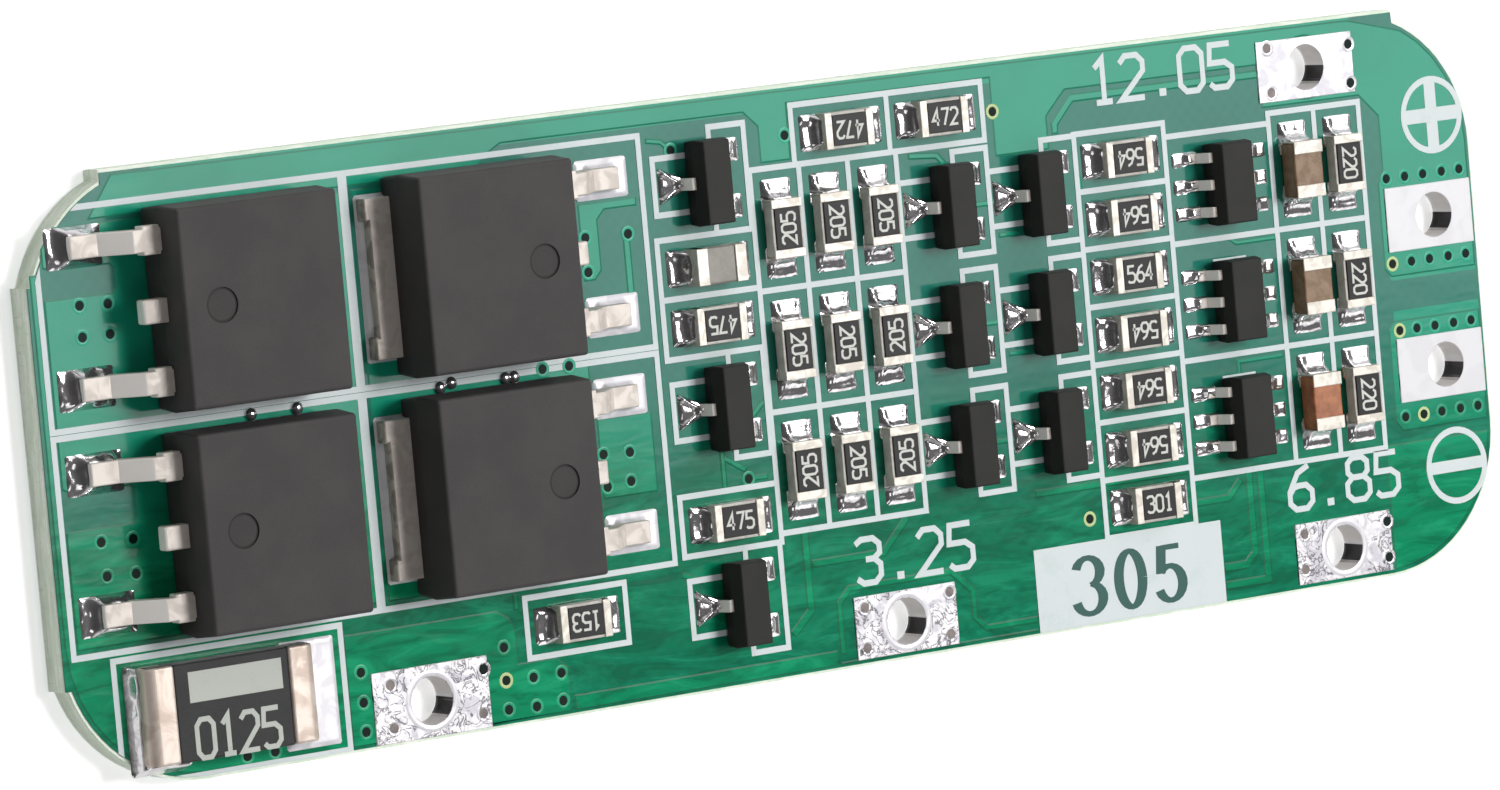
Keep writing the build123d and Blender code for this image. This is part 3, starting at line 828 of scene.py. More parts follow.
def round_edges(bm: bmesh.types.BMesh, radius: float, segments: int = 2,
                pick: Callable[[bmesh.types.BMEdge], bool] = lambda edge: True) -> None:
    """Rounds the outer edges of a mesh.

    Args:
        bm: The mesh.
        radius: Size of the rounding in millimetres.
        segments: Faces across it.
        pick: Tells which of the outer edges are rounded.
    """
    sharp = math.radians(SHARP_ANGLE)
    edges = [e for e in bm.edges if e.is_manifold and e.is_convex and e.calc_face_angle(0) > sharp and pick(e)]
    bmesh.ops.bevel(bm, geom=edges, offset=radius * MM, offset_type="OFFSET", affect="EDGES",
                    segments=segments, profile=0.5, material=-1, clamp_overlap=True)


def middle(node: str) -> Vector:
    """Middle of a solid's box, with the height of its top, in millimetres."""
    low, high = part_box(node)
    return Vector(((low.x + high.x) / 2, (low.y + high.y) / 2, high.z)) / MM


def ribbon(bm: bmesh.types.BMesh, points: Sequence[Point], width: float, z: float,
           closed: bool = False, thin: float = 1) -> list[bmesh.types.BMFace]:
    """Lays a flat strip along a path, with mitred corners, by extruding the edge at its start.

    Args:
        bm: Mesh that it is added to.
        points: Path in millimetres.
        width: Width of the strip.
        z: Height that it lies at.
        closed: True where the path runs back to its start.
        thin: Share of the width that is left where the path runs level, as a broad nib draws.

    Returns:
        The faces of the strip.
    """
    mitre_limit = 0.35
    path = [Vector(p) for p in points]
    count = len(path)
    sides: list[Vector] = []
    for i, here in enumerate(path):
        before = path[i - 1] if i or closed else None
        after = path[(i + 1) % count] if i < count - 1 or closed else None
        into = (here - before).normalized() if before is not None else (after - here).normalized()
        out = (after - here).normalized() if after is not None else into
        left = Vector((-into.y - out.y, into.x + out.x)).normalized()
        side = left * (width / 2 / max(mitre_limit, left.dot(Vector((-out.y, out.x)))))
        sides.append(Vector((side.x, side.y * thin)))
    order = list(range(count)) + ([0] if closed else [])
    rim = [bm.verts.new((*((path[0] + side) * MM), z * MM)) for side in (sides[0], -sides[0])]
    edge = bm.edges.new(rim)
    faces = []
    for i in order[1:]:
        grown = bmesh.ops.extrude_edge_only(bm, edges=[edge])["geom"]
        faces += [g for g in grown if isinstance(g, bmesh.types.BMFace)]
        fresh = [g for g in grown if isinstance(g, bmesh.types.BMVert)]
        left_first = any(e.other_vert(fresh[0]) is rim[0] for e in fresh[0].link_edges)
        rim = fresh if left_first else fresh[::-1]
        for vert, side in zip(rim, (sides[i], -sides[i])):
            vert.co = (*((path[i] + side) * MM), z * MM)
        edge = bm.edges.get(rim)
    if closed:
        bmesh.ops.remove_doubles(bm, verts=list({v for f in faces for v in f.verts}), dist=NEAR)
        faces = [f for f in faces if f.is_valid]
    return faces


def sheet(bm: bmesh.types.BMesh, outline: Sequence[Point], z: float,
          openings: Sequence[Sequence[Point]] = ()) -> list[bmesh.types.BMFace]:
    """Fills an outline with flat faces.

    Args:
        bm: Mesh that it is added to.
        outline: Corners in millimetres.
        z: Height that it lies at.
        openings: Outlines of the parts that stay open.

    Returns:
        The faces.
    """
    edges = []
    for loop in (outline, *openings):
        corners = [bm.verts.new((x * MM, y * MM, z * MM)) for x, y in loop]
        edges += [bm.edges.new((corners[i - 1], corners[i])) for i in range(len(corners))]
    if not openings:
        return bmesh.ops.contextual_create(bm, geom=edges)["faces"]
    filled = bmesh.ops.triangle_fill(bm, use_beauty=True, edges=edges, normal=(0, 0, 1))["geom"]
    return [g for g in filled if isinstance(g, bmesh.types.BMFace)]


def arc(centre: Point, reach: Point, start: float, end: float, steps: int = 8) -> list[Point]:
    """Points on part of an ellipse.

    Args:
        centre: Its middle in millimetres.
        reach: Its half axes.
        start: First angle in degrees.
        end: Last angle in degrees.
        steps: Runs between them.

    Returns:
        The points, both ends included.
    """
    turns = [math.radians(start + (end - start) * k / steps) for k in range(steps + 1)]
    return [(centre[0] + reach[0] * math.cos(t), centre[1] + reach[1] * math.sin(t)) for t in turns]


def circle(centre: Point, radius: float, corners: int) -> list[Point]:
    """Points round a circle.

    Args:
        centre: Its middle in millimetres.
        radius: Its radius.
        corners: Number of points.

    Returns:
        The points, with no point at the end of the turn.
    """
    return arc(centre, (radius, radius), 0, 360 - 360 / corners, corners - 1)


def swell(bm: bmesh.types.BMesh, faces: list[bmesh.types.BMFace], slope: float, height: float,
          finish: int = 0) -> None:
    """Raises flat faces with a sloping rim, as mask lies over copper.

    Args:
        bm: The mesh.
        faces: Faces that lie side by side.
        slope: Width of the rim in millimetres.
        height: Rise in millimetres.
        finish: Number of the rim's finish.
    """
    bmesh.ops.recalc_face_normals(bm, faces=faces)
    if sum(f.normal.z for f in faces) < 0:
        bmesh.ops.reverse_faces(bm, faces=faces)
    rim = bmesh.ops.inset_region(bm, faces=faces, thickness=slope * MM, depth=height * MM,
                                 use_even_offset=True, use_boundary=True)["faces"]
    for side in rim:
        side.material_index = finish


def lift(bm: bmesh.types.BMesh, faces: list[bmesh.types.BMFace], height: float) -> None:
    """Thickens flat faces upwards into a closed plate.

    Args:
        bm: The mesh.
        faces: Faces that lie side by side.
        height: Thickness in millimetres.
    """
    grown = bmesh.ops.extrude_face_region(bm, geom=faces)["geom"]
    verts = [g for g in grown if isinstance(g, bmesh.types.BMVert)]
    bmesh.ops.translate(bm, verts=verts, vec=(0, 0, height * MM))
    bmesh.ops.recalc_face_normals(bm, faces=bm.faces)


def via(bm: bmesh.types.BMesh, x: float, y: float, z: float, hole: float, ring: float, rise: float,
        finish: int = 0, pit: int = 1, corners: int = 14) -> None:
    """Adds a raised ring with a pit in it, the pit a flat disc of painted shade for the hole.

    Args:
        bm: Mesh that it is added to.
        x: Centre in millimetres.
        y: Centre in millimetres.
        z: Height of the surface.
        hole: Radius of the pit.
        ring: Outer radius of the ring.
        rise: Height of the ring.
        finish: Number of the ring's finish.
        pit: Number of the finish of the pit's painted shade.
        corners: Number of points round it.
    """
    slope_share = 0.45
    sink_share = 0.8
    place = Matrix.Translation((x * MM, y * MM, (z + 2 * SKIN) * MM))
    disc = bmesh.ops.create_circle(bm, cap_ends=True, radius=ring * MM, segments=corners, matrix=place)["verts"]
    face = next(f for f in disc[0].link_faces if len(f.verts) == len(disc))
    face.normal_update()
    if face.normal.z < 0:
        bmesh.ops.reverse_faces(bm, faces=[face])
    slope = (ring - hole) * slope_share
    for thickness, depth in ((slope, rise), (ring - hole - slope, -rise * sink_share)):
        rim = bmesh.ops.inset_region(bm, faces=[face], thickness=thickness * MM, depth=depth * MM,
                                     use_even_offset=True, use_boundary=True)["faces"]
        for side in rim:
            side.material_index = finish
    # The pit's flat disc takes the painted shade.
    face.material_index = pit


@dataclass(frozen=True)
class DigitPen:
    """Single-stroke figures with cut corners, as a board's print and a chip's code are drawn."""

    stroke: float
    height: float
    aspect: float = 0.6
    pitch: float = 0.85
    dot_share: float = 1.25
    layer: float = 0.0015

    STROKES: ClassVar[dict[str, list[tuple[list[Point], bool]]]] = {
        "0": [([(.25, 0), (.75, 0), (1, .16), (1, .84), (.75, 1), (.25, 1), (0, .84), (0, .16)], True)],
        "1": [([(.2, .8), (.55, 1), (.55, 0)], False), ([(.2, 0), (.9, 0)], False)],
        "2": [([(0, .84), (.25, 1), (.75, 1), (1, .84), (1, .62), (0, 0), (1, 0)], False)],
        "3": [([(0, .9), (.25, 1), (.75, 1), (1, .86), (1, .66), (.75, .54), (1, .4), (1, .15), (.75, 0),
                (.25, 0), (0, .12)], False), ([(.4, .54), (.75, .54)], False)],
        "4": [([(.72, 0), (.72, 1), (0, .32), (1, .32)], False)],
        "5": [([(.95, 1), (.08, 1), (.02, .58), (.7, .58), (1, .44), (1, .15), (.75, 0), (.2, 0), (0, .1)], False)],
        "6": [([(.9, 1), (.4, .85), (0, .42), (0, .15), (.25, 0), (.75, 0), (1, .15), (1, .4), (.75, .55),
                (.35, .55)], False), ([(.4, .55), (.2, .52), (0, .36)], False)],
        "7": [([(0, 1), (1, 1), (.35, 0)], False)],
        "8": [([(.25, 0), (.75, 0), (1, .14), (1, .4), (.75, .54), (.25, .54), (0, .4), (0, .14)], True),
              ([(.25, .54), (.06, .66), (.06, .88), (.28, 1), (.72, 1), (.94, .88), (.94, .66), (.75, .54)], False)],
        ".": [([(.35, .06), (.65, .06)], False)],
    }

    def write(self, bm: bmesh.types.BMesh, text: str, centre: Point, turn: float, z: float,
              ink: float = 0.008) -> None:
        """Writes figures round a middle point.

        Args:
            bm: Mesh that they are added to.
            text: Figures and dots.
            centre: Middle of the line in millimetres.
            turn: Direction of reading in radians from +X.
            z: Height of the surface.
            ink: Thickness of the ink.
        """
        width = self.height * self.aspect
        step = self.height * self.pitch
        start = -((len(text) - 1) * step + width) / 2
        across = Vector((math.cos(turn), math.sin(turn)))
        upwards = Vector((-across.y, across.x))
        for index, figure in enumerate(text):
            for order, (stroke, closed) in enumerate(self.STROKES[figure]):
                points = [
                    tuple(Vector(centre) + across * (start + index * step + u * width)
                          + upwards * ((v - 0.5) * self.height))
                    for u, v in stroke
                ]
                thick = self.stroke * (self.dot_share if figure == "." else 1)
                lift(bm, ribbon(bm, points, thick, z, closed), ink - self.layer * order)


@dataclass(frozen=True)
class Assembly:
    """A group of pieces, with the finishes that they take."""

    finishes: Finishes


@dataclass(frozen=True)
class Chips(Assembly):
    """Chip resistors and capacitors: softened blocks, wrapped ends and the codes on top."""

    edge: float = 0.035
    cap_edge: float = 0.055
    glaze_height: float = 0.05
    glaze_margin: float = 0.01
    glaze_edge: float = 0.0245
    capacitor_edge: float = 0.08
    least_cap_edge: float = 0.2
    print_ink: float = 0.006
    pen: DigitPen = DigitPen(stroke=0.085, height=0.56, aspect=0.52, pitch=0.68)

    CODES: ClassVar[dict[str, tuple[str, int]]] = {
        "bias_resistor_left": ("472", 180), "bias_resistor_right": ("472", 0),
        "hold_resistor_upper": ("475", 180), "hold_resistor_lower": ("475", 0),
        "restart_resistor": ("153", 180), "output_resistor": ("301", 0),
        "cell_3_gate_resistor_upper": ("564", 180), "cell_3_gate_resistor_lower": ("564", 180),
        "cell_2_gate_resistor_upper": ("564", 0), "cell_2_gate_resistor_lower": ("564", 180),
        "cell_1_gate_resistor_upper": ("564", 180), "cell_1_gate_resistor_lower": ("564", 180),
        "cell_3_bleed_resistor_1": ("205", 90), "cell_3_bleed_resistor_2": ("205", -90),
        "cell_3_bleed_resistor_3": ("205", -90), "cell_2_bleed_resistor_1": ("205", -90),
        "cell_2_bleed_resistor_2": ("205", -90), "cell_2_bleed_resistor_3": ("205", 90),
        "cell_1_bleed_resistor_1": ("205", 90), "cell_1_bleed_resistor_2": ("205", -90),
        "cell_1_bleed_resistor_3": ("205", 90), "cell_3_filter_resistor": ("220", -90),
        "cell_2_filter_resistor": ("220", -90), "cell_1_filter_resistor": ("220", -90),
    }

    def build(self) -> None:
        """Builds every chip."""
        for node in self.CODES:
            self.resistor(node)
        for node in sorted(n for n in frame["nodes"] if n.endswith("capacitor")):
            self.capacitor(node)
        self.end_caps()
        self.codes()

    def resistor(self, node: str) -> None:
        """Softens one resistor: white ceramic under a black glaze.

        Args:
            node: Name of the solid's node.
        """
        bm = merged(node)
        top = middle(node).z * MM
        step = top - self.glaze_height * MM
        for face in bm.faces:
            face.material_index = int(face.calc_center_median().z > step + self.glaze_margin * MM)
        round_edges(bm, self.edge, 2, lambda e: all(v.co.z < step + NEAR for v in e.verts))
        round_edges(bm, self.glaze_edge, 2, lambda e: all(v.co.z > step - NEAR for v in e.verts))
        settle(bm, f"{node}_block", (self.finishes.ceramic, self.finishes.glaze), (node,))

    def capacitor(self, node: str) -> None:
        """Softens one capacitor.

        Args:
            node: Name of the solid's node.
        """
        bm = merged(node)
        round_edges(bm, self.capacitor_edge, 3)
        if node == "gate_capacitor":
            settle(bm, f"{node}_block", (self.finishes.grey,), (node,))
        else:
            body = self.finishes.orange if node.startswith("cell_1") else self.finishes.brown
            settle(bm, f"{node}_block", (body,), (node,))

    def end_caps(self) -> None:
        """Softens the wrapped metal ends."""
        bm = merged("chip_end_caps")
        round_edges(bm, self.cap_edge, 3, lambda e: e.calc_length() > self.least_cap_edge * MM)
        settle(bm, "chip_wrapped_ends", (self.finishes.end_metal,), ("chip_end_caps",))

    def codes(self) -> None:
        """Prints the value codes on the glaze."""
        bm = bmesh.new()
        for node, (code, turn) in self.CODES.items():
            top = middle(node)
            self.pen.write(bm, code, (top.x, top.y), math.radians(turn), top.z, self.print_ink)
        settle(bm, "chip_value_codes", (self.finishes.code_ink,))


@dataclass(frozen=True)
class Packages(Assembly):
    """Moulded bodies of the transistors and circuits, and their bent leads."""

    power_edge: float = 0.11
    small_edge: float = 0.05
    power_lead_edge: float = 0.12
    tab_edge: float = 0.07
    small_lead_edge: float = 0.035
    power_least: float = 1.0
    small_least: float = 0.4
    seat_depth: float = 0.6
    ears_middle: float = -17.3
    ears_reach: float = 3.0

    def build(self) -> None:
        """Builds every package."""
        for node in sorted(frame["nodes"]):
            if is_power(node):
                self.body(node, self.power_edge, 3, self.power_least, self.finishes.power_mould)
            elif node.endswith("_ic") or is_small_transistor(node):
                self.body(node, self.small_edge, 2, self.small_least, self.finishes.small_mould)
        for node, edge, name in (("fet_leads", self.power_lead_edge, "power_leads"),
                                 ("fet_drain_tabs", self.tab_edge, "power_tabs"),
                                 ("transistor_leads", self.small_lead_edge, "small_leads"),
                                 ("monitor_ic_leads", self.small_lead_edge, "circuit_leads")):
            self.metal(node, edge, name)

    def body(self, node: str, radius: float, segments: int, least: float, mould: bpy.types.Material) -> None:
        """Softens one moulded body.

        Args:
            node: Name of the solid's node.
            radius: Size of the rounding in millimetres.
            segments: Faces across it.
            least: Length of the shortest edge that is rounded.
            mould: Finish of the body.
        """
        bm = merged(node)
        round_edges(bm, radius, segments,
                    lambda e: e.calc_length() > least * MM and (not is_power(node) or self.outside(e, node)))
        settle(bm, f"{node}_moulding", (mould,), (node,))

    def metal(self, node: str, radius: float, name: str) -> None:
        """Softens the leads or tabs of one kind. The ears of the tabs are duller than the leads.

        Args:
            node: Name of the solids' node.
            radius: Size of the rounding in millimetres.
            name: Name of the piece.
        """
        bm = merged(node)
        round_edges(bm, radius, 3)
        for face in bm.faces:
            off = abs(face.calc_center_median().x / MM - self.ears_middle)
            face.material_index = int(node == "fet_drain_tabs" and off < self.ears_reach)
        settle(bm, name, (self.finishes.tin, self.finishes.tab_tin), (node,))

    def outside(self, edge: bmesh.types.BMEdge, node: str) -> bool:
        """Tells whether an edge lies on the outside of a body, away from the seats of its metal.

        Args:
            edge: The edge.
            node: Name of the body's node.

        Returns:
            True where it does.
        """
        low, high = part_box(node)
        inner = self.seat_depth * MM
        return all(min(v.co.x - low.x, high.x - v.co.x) < inner or min(v.co.y - low.y, high.y - v.co.y) < inner
                   for v in edge.verts)


@dataclass(frozen=True)
class Wetting:
    """How solder lies on one kind of land, in millimetres from the part's middle along its lead."""

    start: float
    end: float
    width: float
    foot_start: float
    foot_end: float
    foot_width: float
    climb: float
    reach: float
    film: float = 0.06
    corner: float = 0.14
    cell: float = 0.075
    lumps: float = 0.03
    prongs: float = 0.0
    neck: float = 1.0
    finish: int = 0
    film_rim: float = 0.13
    climb_rim: float = 0.14
    lump_rim: float = 0.15
    ridge_rim: float = 0.08
    sway: float = 0.35
    sway_rate: float = 1.7
    lump_rate: float = 2.3
    ridge_tip: Point = (0.1, 0.06)
    ridge_end: Point = (0.14, 0.16)
    ridge_width: float = 0.11
    ridge_fall: float = 0.2
    wedge: float = 0.85
    film_power: float = 0.5
    climb_power: float = 2.2
    rim_power: float = 0.6
    lump_seed: float = 9

    def height(self, u: float, v: float, seed: float) -> float:
        """Height of the solder over the mask.

        Args:
            u: Distance along the lead.
            v: Distance across it.
            seed: Number that makes one joint differ from the next.

        Returns:
            The height, 0 on the rim of the land.
        """
        rim = max(0.0, min(u - self.start, self.end - u, self.width / 2 - abs(v)))
        film = self.film * min(1.0, rim / self.film_rim) ** self.film_power
        aside = max(0.0, abs(v) - self.foot_width / 2)
        along = max(0.0, u - self.foot_end, self.foot_start - u)
        gap = math.hypot(aside, along) / self.reach
        sway = 1 + self.sway * noise.noise(Vector((u * self.sway_rate, v * self.sway_rate, seed)))
        slope = max(0.0, 1 - gap) ** self.climb_power
        rise = self.climb * slope * sway * min(1.0, rim / self.climb_rim) ** self.rim_power
        lump = noise.noise(Vector((u * self.lump_rate, v * self.lump_rate, seed + self.lump_seed)))
        ripple = self.lumps * lump * min(1.0, rim / self.lump_rim)
        return film + rise + ripple + self.prong(u, v) * min(1.0, rim / self.ridge_rim)

    def prong(self, u: float, v: float) -> float:
        """Height of the slope off the lead's tip, with a ridge from it to each outer corner of the land.

        Args:
            u: Distance along the lead.
            v: Distance across it.

        Returns:
            The height of the slope and the nearer ridge.
        """
        if not self.prongs:
            return 0.0
        tip = Vector((self.foot_start - self.ridge_tip[0], self.ridge_tip[1]))
        run = Vector((self.end - self.ridge_end[0], self.width / 2 - self.ridge_end[1])) - tip
        here = Vector((u, abs(v))) - tip
        share = max(0.0, min(1.0, here.dot(run) / run.length_squared))
        off = (here - run * share).length
        ridge = (1 - self.ridge_fall * share) * math.exp(-(off / self.ridge_width) ** 2)
        return self.prongs * max(ridge, self.wedge * (1 - share))


@dataclass(frozen=True)
class Soldering(Assembly):
    """All the solder of the board: a film on each land that climbs the lead or end on it."""

    # Start, end and width of the land, the same of the foot on it, then climb and reach.
    chip: Wetting = Wetting(0.55, 1.68, 1.25, 0.0, 1.0, 0.8, 0.3, 0.42, prongs=0.05)
    capacitor: Wetting = Wetting(0.55, 1.68, 1.25, 0.0, 1.0, 0.9, 0.42, 0.5, prongs=0.04)
    small_lead: Wetting = Wetting(0.7, 1.6, 0.8, 0.95, 1.2, 0.3, 0.13, 0.26, cell=0.05, lumps=0.03)
    single_lead: Wetting = Wetting(0.7, 1.72, 1.3, 0.9, 1.05, 0.2, 0.1, 0.2, cell=0.045, lumps=0.012,
                                   prongs=0.21, neck=0.3)
    circuit_lead: Wetting = Wetting(0.95, 2.05, 0.5, 1.1, 1.42, 0.3, 0.13, 0.3, cell=0.05, lumps=0.04)
    charge_lead: Wetting = Wetting(4.5, 6.6, 1.35, 5.0, 5.9, 0.7, 0.34, 0.55, lumps=0.07)
    discharge_lead: Wetting = Wetting(4.5, 6.6, 1.35, 5.0, 5.9, 0.7, 0.24, 0.2, lumps=0.004, finish=1)
    power_tab: Wetting = Wetting(2.9, 4.12, 5.55, 2.9, 3.93, 5.25, 0.2, 0.13, lumps=0.01, finish=1)
    shunt_left: Wetting = Wetting(1.875, 3.975, 3.6, 1.9, 3.68, 3.1, 0.5, 0.34)
    shunt_right: Wetting = Wetting(1.875, 3.975, 3.6, 1.2, 2.72, 3.1, 0.2, 0.2, lumps=0.003, finish=1)
    shunt_middle: Point = (-23.325, -7.8)
    small_pitch: float = 1.9
    circuit_pitch: float = 0.95
    power_pitch: float = 4.57
    beads: tuple[Point, ...] = ((-21.65, 1.52), (-19.9, 1.5), (-14.4, 1.5), (-13.95, 1.6),
                                (-11.85, 1.5), (-11.5, 1.5))
    bead_radius: float = 0.23
    bead_height: float = 0.03
    bead_flattening: float = 0.6
    bead_segments: int = 14
    bead_rings: int = 8
    seed_step: float = 3.7
    least_cells: int = 4

    def build(self) -> None:
        """Lays the solder on every land."""
        bm = bmesh.new()
        for index, (kind, x, y, way) in enumerate(self.places()):
            self.joint(bm, kind, x, y, way, index * self.seed_step)
        for x, y in self.beads:
            place = Matrix.Translation((x * MM, y * MM, (MASK_TOP + self.bead_height) * MM))
            bmesh.ops.create_uvsphere(bm, u_segments=self.bead_segments, v_segments=self.bead_rings,
                                      radius=self.bead_radius * MM,
                                      matrix=place @ Matrix.Diagonal((1, 1, self.bead_flattening, 1)))
        piece = settle(bm, "soldering", (self.finishes.solder, self.finishes.pale_solder),
                       ("solder_joints",), smooth=True)
        log.info("%s covers %d lands", piece.name, len(self.places()))

    def places(self) -> list[tuple[Wetting, float, float, Way]]:
        """Lists the lands.

        Returns:
            Kind of each land, the middle of its part and the way its lead points.
        """
        found: list[tuple[Wetting, float, float, Way]] = []
        for node in sorted(frame["nodes"]):
            low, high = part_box(node)
            at = middle(node)
            if "_resistor" in node or node.endswith("_capacitor"):
                kind = self.capacitor if node.endswith("_capacitor") else self.chip
                way = Way.EAST if high.x - low.x > high.y - low.y else Way.NORTH
                found += [(kind, at.x, at.y, side) for side in (way, way.opposite)]
            elif node.endswith("_ic"):
                found += [(self.circuit_lead, at.x, at.y + k * self.circuit_pitch, side)
                          for side in (Way.WEST, Way.EAST) for k in (-1, 0, 1)]
            elif is_power(node):
                way = Way.WEST if node.startswith("charge") else Way.EAST
                lead = self.charge_lead if way is Way.WEST else self.discharge_lead
                found += [(lead, at.x, at.y + k * self.power_pitch / 2, way) for k in (-1, 1)]
                found.append((self.power_tab, at.x, at.y, way.opposite))
            elif is_small_transistor(node):
                found.append((self.single_lead, at.x, at.y, Way.WEST))
                found += [(self.small_lead, at.x, at.y + k * self.small_pitch / 2, Way.EAST) for k in (-1, 1)]
        found.append((self.shunt_left, *self.shunt_middle, Way.WEST))
        found.append((self.shunt_right, *self.shunt_middle, Way.EAST))
        return found

    def joint(self, bm: bmesh.types.BMesh, kind: Wetting, x: float, y: float, way: Way, seed: float) -> None:
        """Lays solder on one land.

        Args:
            bm: Mesh that it is added to.
            kind: How it lies.
            x: Middle of the part.
            y: Middle of the part.
            way: The way its lead points.
            seed: Number that makes it differ from the next.
        """
        length = kind.end - kind.start
        columns = max(self.least_cells, round(length / kind.cell))
        rows = max(self.least_cells, round(kind.width / kind.cell))
        verts = bmesh.ops.create_grid(bm, x_segments=columns, y_segments=rows, size=0.5)["verts"]
        half = Vector((length / 2, kind.width / 2))
        for vert in verts:
            u, v = vert.co.x * length, vert.co.y * kind.width
            over = Vector((abs(u) - half.x + kind.corner, abs(v) - half.y + kind.corner))
            if over.x > 0 and over.y > 0 and over.length > kind.corner:
                over = over.normalized() * kind.corner
                u = math.copysign(half.x - kind.corner + over.x, u)
                v = math.copysign(half.y - kind.corner + over.y, v)
            along = (kind.start + kind.end) / 2 + u
            rise = kind.height(along, v, seed)
            share = (along - kind.start) / length
            vert.co = (along, v * (kind.neck + (1 - kind.neck) * share), rise)
        for face in {f for vert in verts for f in vert.link_faces}:
            face.material_index = kind.finish
        turn = Matrix.Rotation(way.angle, 4, "Z")
        place = Matrix.Translation((x * MM, y * MM, MASK_TOP * MM)) @ turn @ Matrix.Scale(MM, 4)
        bmesh.ops.transform(bm, matrix=place, verts=verts)


@dataclass(frozen=True)
class Terminals(Assembly):
    """Tinned lands with plated holes, and the small holes sunk in their corners."""

    edge: float = 0.045
    pit_radius: float = 0.18
    pit_ring: float = 0.29
    rim_radius: float = 0.93
    rim_width: float = 0.2
    rim_slope: float = 0.08
    rim_rise: float = 0.018
    rim_corners: int = 45
    pit_rise: float = 0.01
    pits: tuple[Point, ...] = (
        (-17.35, -7.97), (-17.35, -9.4), (-13.87, -9.4), (-13.72, -7.95),
        (1.68, -8.02), (1.65, -9.4), (5.23, -7.95), (5.15, -9.4),
        (20.65, -8.0), (20.57, -9.25), (24.35, -8.03), (24.32, -9.3),
        (20.75, 9.17), (20.8, 7.6), (24.35, 8.97), (24.32, 7.6),
    )
    outputs_start: float = 25.0
    dark_shade_pits: tuple[Point, ...] = ((-13.72, -7.95), (24.35, -8.03), (24.32, -9.3), (24.35, 8.97), (24.32, 7.6))

    def build(self) -> None:
        """Builds the lands and their pits."""
        for node, finish, name in (("cell_terminals", self.finishes.land_tin, "cell_lands"),
                                   ("charge_load_terminals", self.finishes.plain_land, "output_lands")):
            bm = merged(node)
            round_edges(bm, self.edge, 2)
            settle(bm, name, (finish,), (node,))
        bm = bmesh.new()
        # The pits' flat discs take painted shade: the darker finish for the listed ones, the paler one for the rest.
        for x, y in self.pits:
            via(bm, x, y, SEAT, self.pit_radius, self.pit_ring, self.pit_rise,
                pit=1 if (x, y) in self.dark_shade_pits else 2)
        settle(bm, "land_pits", (self.finishes.land_tin, self.finishes.pit, self.finishes.pale_pit_shade))
        bm = bmesh.new()
        for hole in self.finishes.holes:
            if hole[1] < 0 and hole[0] < self.outputs_start:
                ring = circle(hole, self.rim_radius, self.rim_corners)
                swell(bm, ribbon(bm, ring, self.rim_width, SEAT + SKIN, True), self.rim_slope, self.rim_rise)
        settle(bm, "land_rims", (self.finishes.pale_solder,), smooth=True)


@dataclass(frozen=True)
class Shunt(Assembly):
    """Coated strip with folded ends, a pale field and figures printed on it."""

    end_edge: float = 0.09
    body_edge: float = 0.05
    field: tuple[float, float, float, float] = (-25.45, -21.95, -7.35, -6.35)
    figures: str = "0125"
    figures_middle: Point = (-23.75, -8.55)
    print_ink: float = 0.006
    pen: DigitPen = DigitPen(stroke=0.17, height=1.25, aspect=0.5, pitch=0.66)

    def build(self) -> None:
        """Builds the strip, its ends and its print."""
        bm = merged("shunt_terminals")
        round_edges(bm, self.end_edge, 3)
        settle(bm, "shunt_folded_ends", (self.finishes.fold_tin,), ("shunt_terminals",))
        bm = merged("shunt_body")
        round_edges(bm, self.body_edge, 2)
        settle(bm, "shunt_strip", (self.finishes.shunt_coat,), ("shunt_body",))
        top = middle("shunt_body").z
        bm = bmesh.new()
        x_start, x_end, y_start, y_end = self.field
        corners = [(x_start, y_start), (x_end, y_start), (x_end, y_end), (x_start, y_end)]
        lift(bm, sheet(bm, corners, top), self.print_ink)
        self.pen.write(bm, self.figures, self.figures_middle, 0, top, self.print_ink)
        settle(bm, "shunt_print_field", (self.finishes.shunt_field,))


